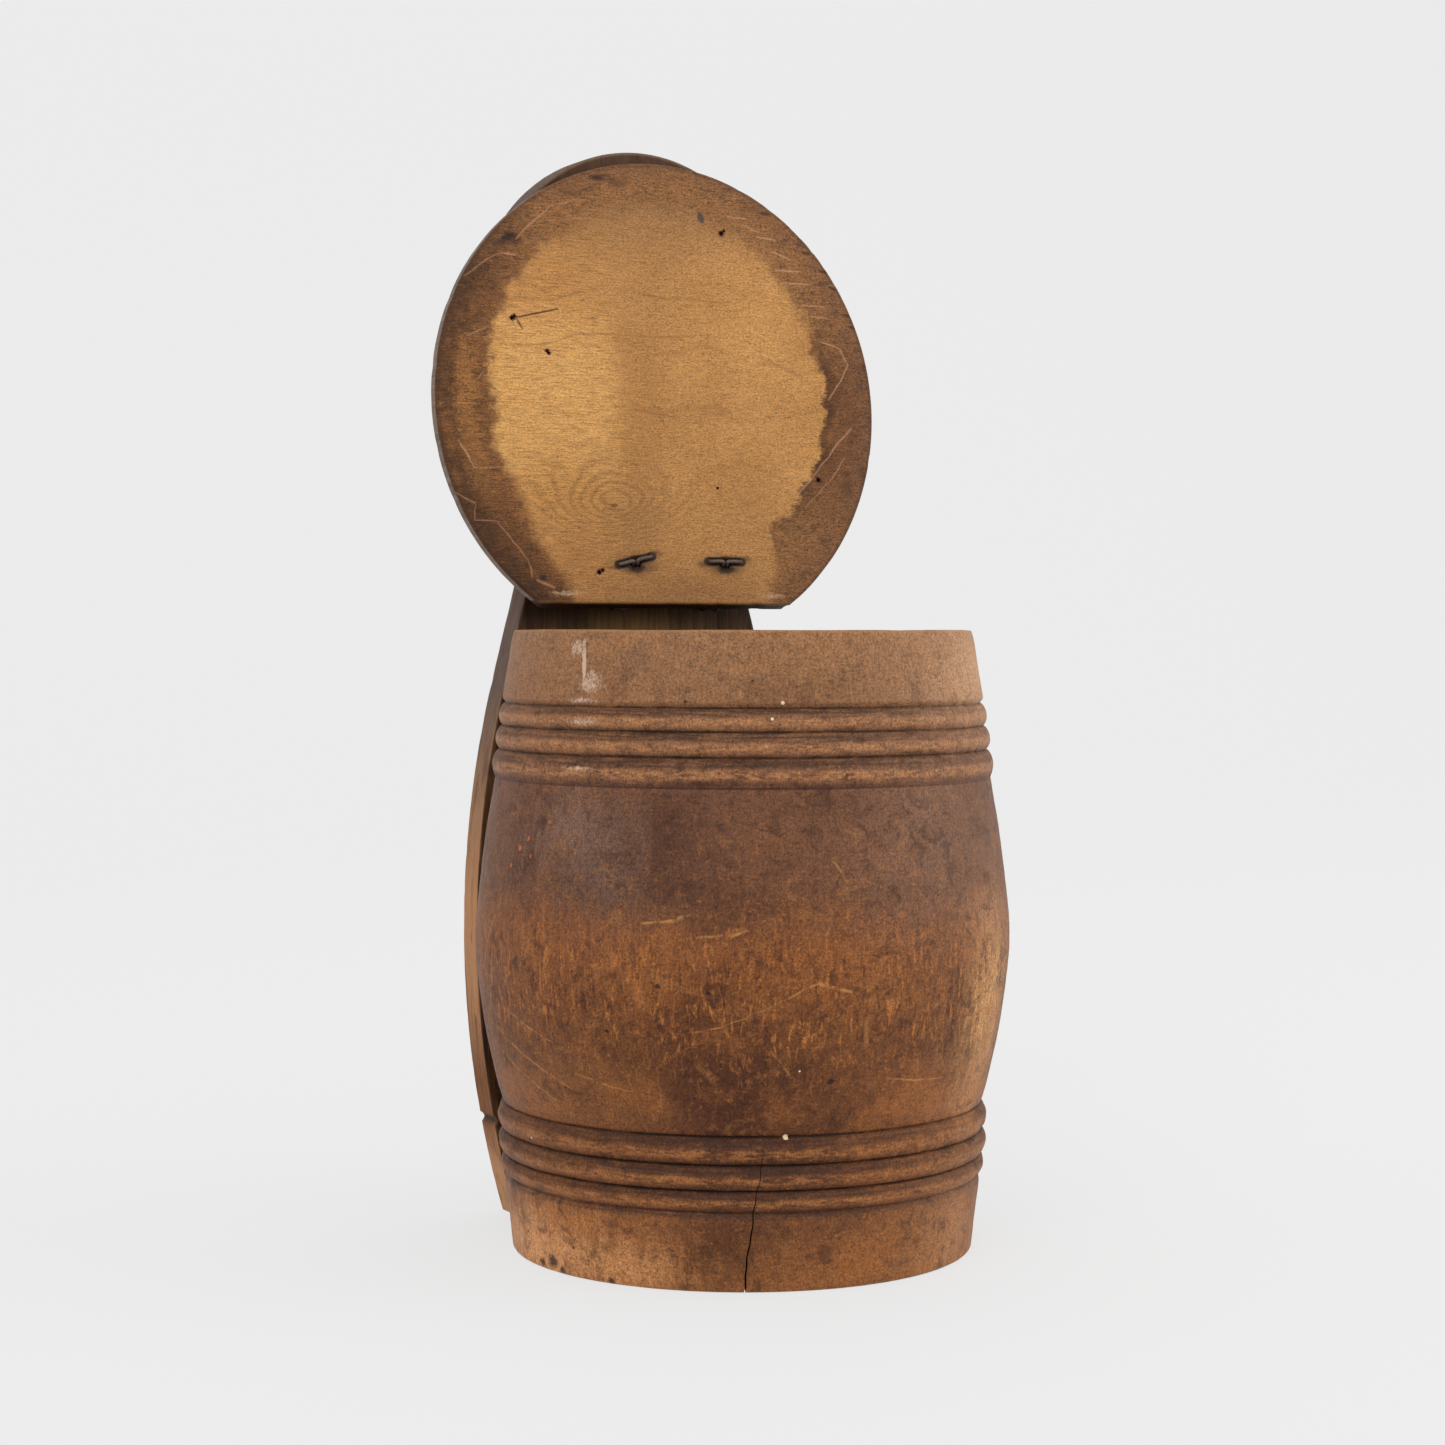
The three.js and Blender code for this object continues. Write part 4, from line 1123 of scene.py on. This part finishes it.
    # Dark hollows, rust and iron stain round the hinge wires and the worm holes
    for side, hinge_x in HINGE_X.items():
        tilt = CLINCH_TILT[side]
        level_here = shank(1)[0] + CHORD_BEHIND_PIVOT
        aside, above = SEAT_REACH * math.cos(tilt), SEAT_REACH * math.sin(tilt)
        ends = [(hinge_x + sign * aside, level_here + sign * above) for sign in (-1, 1)]
        stained = paint.blob(x, up, (hinge_x, level_here - 1.2), (7.6, 3.2)) + (bleeding - 0.5) * 0.9
        colour = colour.tint(stained.rise(0.1, 0.9) * 0.7, (92, 68, 56))
        pointed = paint.blob(x, up, (hinge_x + 0.3, level_here - 2.1), (3.6, 1.9)) + (grit - 0.5) * 0.7
        colour = colour.tint(pointed.rise(0.3, 0.8) * 0.85, (46, 34, 32))
        hollow = paint.line(plane, *ends, 2.2, 0.0) + (grit - 0.5) * 0.5
        colour = colour.tint(hollow.rise(0.2, 0.8) * 0.9, (38, 28, 26))
    smudges = [
        (-2.6, 15.0, 3.2, 1.3), (-17, 10.6, 3.0, 0.9), (12.6, 12.0, 2.6, 1.5), (27.4, 13.6, 2.4, 1.2),
    ]
    for smudge in smudges:
        smeared = paint.blob(x, up, smudge[:2], smudge[2:]) + (grit - 0.5) * 1.4 + (bleeding - 0.5) * 0.8
        colour = colour.tint(smeared.rise(0.35, 1.0) * 0.6, (84, 60, 50))
    for hole_x, hole_up, size, _ in WORM_HOLES:
        ragged = paint.blob(x, up, (hole_x, hole_up), (size * 2.2, size * 1.8)) + (grit - 0.5) * 1.8
        colour = colour.tint(ragged.rise(0.35, 0.7) * 0.85, (72, 38, 24))
    slate = paint.blob(x + (up - 115.8) * 0.25, up, (15.2, 115.8), (1.2, 1.9)) + (grit - 0.5) * 1.1
    colour = colour.tint(slate.rise(0.25, 0.7) * 0.85, (72, 66, 66))
    scar = paint.line(plane, (-46.5, 82.6), (-32.6, 85.9), 0.42, 0.1)
    scar = scar.most(paint.line(plane, (-45.6, 82.4), (-43.9, 79.6), 0.5))
    colour = colour.tint(scar * 0.85, (76, 44, 28))

    # Pale scratches on the border
    wavy = paint.vector_math("ADD", plane, paint.join((patchy - 0.5) * 3, (gentle - 0.5) * 4))
    scratches = [
        (24, 117.5, 31, 116.6, 0.45, 0.6), (29, 114.8, 33.5, 112.8, 0.4, 0.7),
        (34, 110.8, 40.5, 110.4, 0.45, 0.8), (32, 113, 37, 112, 0.35, 0.5),
        (39, 106.8, 45.5, 105.2, 0.45, 0.9), (40.5, 101.8, 48.5, 102.1, 0.4, 0.9),
        (43, 98.4, 53, 98.2, 0.4, 0.8), (49, 91, 57, 90.6, 0.35, 0.9),
        (51.5, 87.2, 58.5, 86.8, 0.35, 0.8), (55, 79, 61.8, 77.8, 0.35, 0.9),
        (61.8, 77.8, 64.6, 73.4, 0.4, 0.7), (64.6, 73.4, 57.6, 62, 0.4, 0.8),
        (65, 54, 53, 41.5, 0.45, 0.75), (53, 41.5, 44.5, 33.5, 0.4, 0.7), (62.5, 45, 57, 38, 0.4, 0.6),
        (57, 38, 48, 31, 0.35, 0.5), (-64.5, 46.5, -60.5, 40, 0.4, 0.8),
        (-60.5, 40, -52, 40.4, 0.35, 0.6), (-65.5, 32.4, -60, 28.4, 0.35, 0.6),
        (-60.2, 28, -60.2, 23.2, 0.3, 0.5), (-60.2, 23.2, -52.6, 22.6, 0.35, 0.6),
        (-53, 22, -44, 13, 0.35, 0.6), (-44, 13, -43, 8, 0.4, 0.6), (-41, 7, -35.8, 4.6, 0.6, 0.8),
        (-50, 101.6, -45, 101.2, 0.5, 0.8), (-61.5, 94, -49.5, 102, 0.35, 0.5),
        (-61, 76.4, -54.4, 80, 0.35, 0.6), (-45, 106, -34, 115.4, 0.45, 0.6),
        (-34, 115.4, -25, 119.4, 0.35, 0.4), (-59, 64, -56, 66.6, 0.3, 0.5),
    ]
    rub = grit.rise(0.26, 0.5)
    scratched = paint.marks(wavy, scratches) * rub
    colour = colour.tint(scratched * 0.62, (208, 154, 120))
    chalk = paint.blob(x, up, (-32, 3.0), (8, 1.5)) + paint.blob(x, up, (36, 2.6), (8, 1.6)) * 0.9
    chalk = chalk + (paint.noise((1.4, 0.8, 1), 4, 0.7, 0.8) - 0.5) * 1.6
    colour = colour.tint(chalk.rise(0.6, 1.1) * 0.75, (196, 164, 136))
    colour = colour.tint(up.rise(1.3, 0.3) * 0.5, (132, 98, 62))

    # The edge is grey brown, the outer face carries the keg's dark patina
    outside = deep.rise(0.5, 1.2)
    ring_grain = paint.noise((10, 1.0, 1), 4, 0.6, 0.2)
    patina = paint.tones(ring_grain, [(0.3, (60, 42, 33)), (0.5, (88, 62, 46)), (0.7, (112, 80, 56))])
    patina = patina.tint(patchy.rise(0.5, 0.7) * 0.4, (128, 86, 54))
    for scribed_radius in SCRIBED_RADII:
        scribed = (radius - scribed_radius).size().rise(1.2, 0.3)
        patina = patina.tint(scribed * 0.6, (40, 28, 24))
    rim = radius.rise(70.2, 71.2)
    rim_tone = paint.tones(bleeding, [(0.35, (104, 86, 76)), (0.65, (134, 116, 102))])
    patina = paint.blend(rim, patina, rim_tone)
    # Painted shade on the chord face, the lid's straight back edge beside the board
    chord_face_shade = up.rise(1.2, 0.8)
    patina = patina.tint(chord_face_shade * 0.85, (44, 30, 22))
    patina = paint.shade(patina, 0.66 + dashes * 0.34 + grit * 0.34)
    colour = paint.blend(outside, colour, patina)

    rough = 0.64 + (figure - 0.5) * 0.2 - edge * 0.08
    relief = (figure - 0.5) * 0.08 + (dashes - 0.5) * 0.08 + (grit - 0.5) * 0.05
    relief = relief - scratched * 0.06 - scar * 0.15
    return paint.finish(colour, rough, relief, specular=0.22)


# ---- Wire hinges ----

def pivot_place(x, up, deep):
    """A place measured from the hinge axis: along it, up the open lid, and in towards its outer face."""
    return lid_place(x, up + CHORD_BEHIND_PIVOT, deep + PIVOT_DEPTH).reshape(3)


def shank(share):
    """How far up the lid and how deep a cotter's leg has run, by its share of the way to the exit."""
    return EXIT_FROM_PIVOT * share, -PIVOT_DEPTH * share


def clinch_place(side, direction, out, deep):
    """A place on a lid cotter's bent end, as in the CAD: out from its leg, and deep into the lid."""
    across = direction * (HALF_SPACING + out) if direction else out
    tilt = CLINCH_TILT[side]
    x = HINGE_X[side] + across * math.cos(tilt)
    up, under = shank(1)
    return pivot_place(x, up + across * math.sin(tilt), under + deep)


def lid_cotter_leg(side, direction):
    length = math.hypot(*shank(1))
    bends = [(1.1, 0.28), (1.62, 0.9), (1.55, 1.9), (HALF_SPACING + 0.1, 3.4), (HALF_SPACING, 5),
             (HALF_SPACING, length - 3.5), (0.7, length - 1.1)]
    leg = [pivot_place(HINGE_X[side] + direction * across, *shank(down / length)) for across, down in bends]
    leg += [clinch_place(side, direction, 0.15, -CLINCH_PROUD + 0.05),
            clinch_place(side, direction, CLINCH_REACH - 0.9, -CLINCH_PROUD),
            clinch_place(side, direction, CLINCH_REACH - 0.1, 0.3 - CLINCH_PROUD),
            clinch_place(side, direction, CLINCH_REACH, TIP_DEPTH)]
    return leg


def rusty_wire(name, route, body, material, replaced):
    """A wire with a slightly pitted, uneven skin."""
    path = smooth_line(route, 9)
    radii = WIRE_RADIUS * (0.93 + 0.12 * grain_noise(path[:, 0], path[:, 1], path[:, 2], 1.2, 3))
    radii[0] *= 0.55
    radii[-1] *= 0.55
    points, faces = tube(path, radii)
    return make_object(name, points, faces, body, material, replaced, 50)


def hinge_wires(material):
    for side, x in HINGE_X.items():
        route = lid_cotter_leg(side, -1)[::-1] + [pivot_place(x, 0, 0)] + lid_cotter_leg(side, 1)
        rusty_wire(f"lid_wire_{side}", route, "lid", material, f"lid_cotter_{side}")
        seat_y = BOARD_SEAT_Y - PIVOT_Y
        leg = [(seat_y, CLINCH_REACH + HALF_SPACING), (seat_y, HALF_SPACING + 0.9),
               (seat_y - 0.9, HALF_SPACING + 0.05), (seat_y - 3, HALF_SPACING), (6, HALF_SPACING),
               (2.6, HALF_SPACING + 0.05)]
        eye = arc((0, 0), EYE_RADIUS, 0.3 * math.pi, 1.7 * math.pi, 11)
        loop = leg + [tuple(point) for point in eye] + [(y, -z) for y, z in reversed(leg)]
        route = [(x, PIVOT_Y + y, PIVOT_Z + z) for y, z in loop]
        rusty_wire(f"board_wire_{side}", route, "keg", material, f"board_cotter_{side}")


def iron_paint(name, base, rust, in_lid=False):
    """Dark hammered iron with rust in its pits and a little worn metal, with painted shade where it runs
    inside the lid.
    """
    paint = Paint(name)
    coarse = paint.noise(1.6, 4, 0.65)
    fine = paint.noise(0.35, 3, 0.6)
    rusted = coarse.rise(0.45, 0.62)
    colour = paint.blend(rusted, srgb(*base), srgb(*rust))
    colour = paint.blend(fine.rise(0.58, 0.72) * 0.5, colour, srgb(132, 122, 112))
    if in_lid:
        up, deep = lid_axes(paint)
        # Painted shade on the wire where it runs inside the lid's holes
        hole_shade = deep.rise(-0.2, 0.15) * up.rise(CHORD_BEHIND_PIVOT + 4, CHORD_BEHIND_PIVOT + 5)
        colour = paint.blend(hole_shade * 0.9, colour, srgb(20, 16, 15))
    relief = (coarse - 0.5) * 0.12 + (fine - 0.5) * 0.06
    return paint.finish(colour, 0.42 + coarse * 0.3, relief, metallic=0.75 - rusted * 0.5)


# ---- Nails ----

def forged_nails(material):
    """Hand-forged nails with a hammered, four-faced head sunk into the board's back."""
    # Radius and depth from the point up to the middle of the head
    section = [(0.15, -NAIL_LENGTH + 0.3), (0.55, -NAIL_LENGTH + 2.5), (1.05, -NAIL_LENGTH + 7),
               (1.15, -2.2), (1.2, -1.35), (2.5, -1.2), (2.75, -0.85), (2.6, -0.6), (1.9, -0.42),
               (1.0, -0.33), (0.3, -0.3)]
    sides = 24
    turns = np.linspace(0, 2 * math.pi, sides, endpoint=False)
    square = 1 / np.maximum(np.abs(np.cos(turns)), np.abs(np.sin(turns)))
    for number, (level, z) in enumerate(NAIL_Z.items()):
        for side, sign in (("left", -1), ("right", 1)):
            points = []
            for radius, depth in section:
                shape = square if radius < 1.3 and depth < -1 else 1 + 0.25 * (square - 1)
                x = radius * shape * np.cos(turns) * 0.95
                up = radius * shape * np.sin(turns) * 0.95
                y = np.full(sides, BOARD_BACK_Y + depth)
                if depth > -1:
                    y += 0.12 * (grain_noise(x + 9 * sign, up, z, 1.3, number) - 1)
                points.extend(zip(sign * NAIL_X + x, y, z + up))
            faces = [tuple(reversed(face)) for face in capped_faces(len(section), sides)]
            name = f"forged_nail_{level}_{side}"
            make_object(name, points, faces, "keg", material, f"board_nail_{level}_{side}", 40)


# ---- Studio ----

CAMERA_DISTANCE = 820
CAMERA_HEIGHT = 172
CAMERA_AZIMUTH = math.radians(27.9)
CAMERA_LENS = 72.7
SENSOR = 36
CAMERA_DOWN, CAMERA_LEFT, CAMERA_ROLL = math.radians(1.755), math.radians(0.40), math.radians(-0.1)

# Each lamp's place in metres and its power in watts
LAMPS = {"key": ((-1.3, -1.5, 1.5), 16), "fill": ((1.6, -0.9, 0.9), 12)}
LAMP_SIZE = 1.4
LAMP_TARGET = (0, 0, 0.15)
SKY_STRENGTH = 0.84
PAPER_COLOUR = (0.16, 0.16, 0.16, 1)
PAPER_GLOW = 0.665


def studio():
    scene = bpy.context.scene
    scene.view_settings.view_transform = "Standard"
    world = bpy.data.worlds.new("pale_studio")
    scene.world = world
    world.use_nodes = True
    background = world.node_tree.nodes["Background"]
    background.inputs["Color"].default_value = (1, 1, 1, 1)
    background.inputs["Strength"].default_value = SKY_STRENGTH

    mesh = bpy.data.meshes.new("floor")
    reach, wall, height = 3.0, 1.6, 3.0
    bend = arc((wall - 0.6, 0.6), 0.6, -math.pi / 2, 0, 24)
    section = [(-reach, 0), *bend, (wall, height)]
    points = [(x, y, z) for y, z in section for x in (-reach, reach)]
    faces = [(2 * i, 2 * i + 1, 2 * i + 3, 2 * i + 2) for i in range(len(section) - 1)]
    mesh.from_pydata(points, [], faces)
    mesh.polygons.foreach_set("use_smooth", [True] * len(mesh.polygons))
    floor = add_object("floor", mesh)
    paper = Paint("floor_paper")
    floor.data.materials.append(paper.finish(PAPER_COLOUR, 0.9, specular=0.1, glow=PAPER_GLOW))

    for name, (place, power) in LAMPS.items():
        light = bpy.data.lights.new(name, "AREA")
        light.shape = "SQUARE"
        light.size = LAMP_SIZE
        light.energy = power
        lamp = add_object(name, light)
        lamp.location = place
        aim = Vector(LAMP_TARGET) - Vector(place)
        lamp.rotation_euler = aim.to_track_quat("-Z", "Y").to_euler()

    camera = add_object("camera", bpy.data.cameras.new("camera"))
    camera.data.sensor_width = SENSOR
    camera.data.lens = CAMERA_LENS
    camera.data.clip_start = 0.05
    camera.location = (-CAMERA_DISTANCE * math.sin(CAMERA_AZIMUTH) * MM,
                       -CAMERA_DISTANCE * math.cos(CAMERA_AZIMUTH) * MM, CAMERA_HEIGHT * MM)
    camera.rotation_euler = (math.pi / 2 - CAMERA_DOWN, CAMERA_ROLL, -CAMERA_AZIMUTH + CAMERA_LEFT)
    scene.camera = camera


# ---- Scene ----

iron = iron_paint("rusty_wire", (104, 90, 80), (84, 60, 46), in_lid=True)
nail_iron = iron_paint("forged_iron", (44, 40, 38), (84, 52, 34))
keg_shell(shell_paint())
keg_bottom(bottom_paint())
back_plank(board_paint())
lid_panel(lid_paint())
hinge_wires(iron)
forged_nails(nail_iron)
studio()
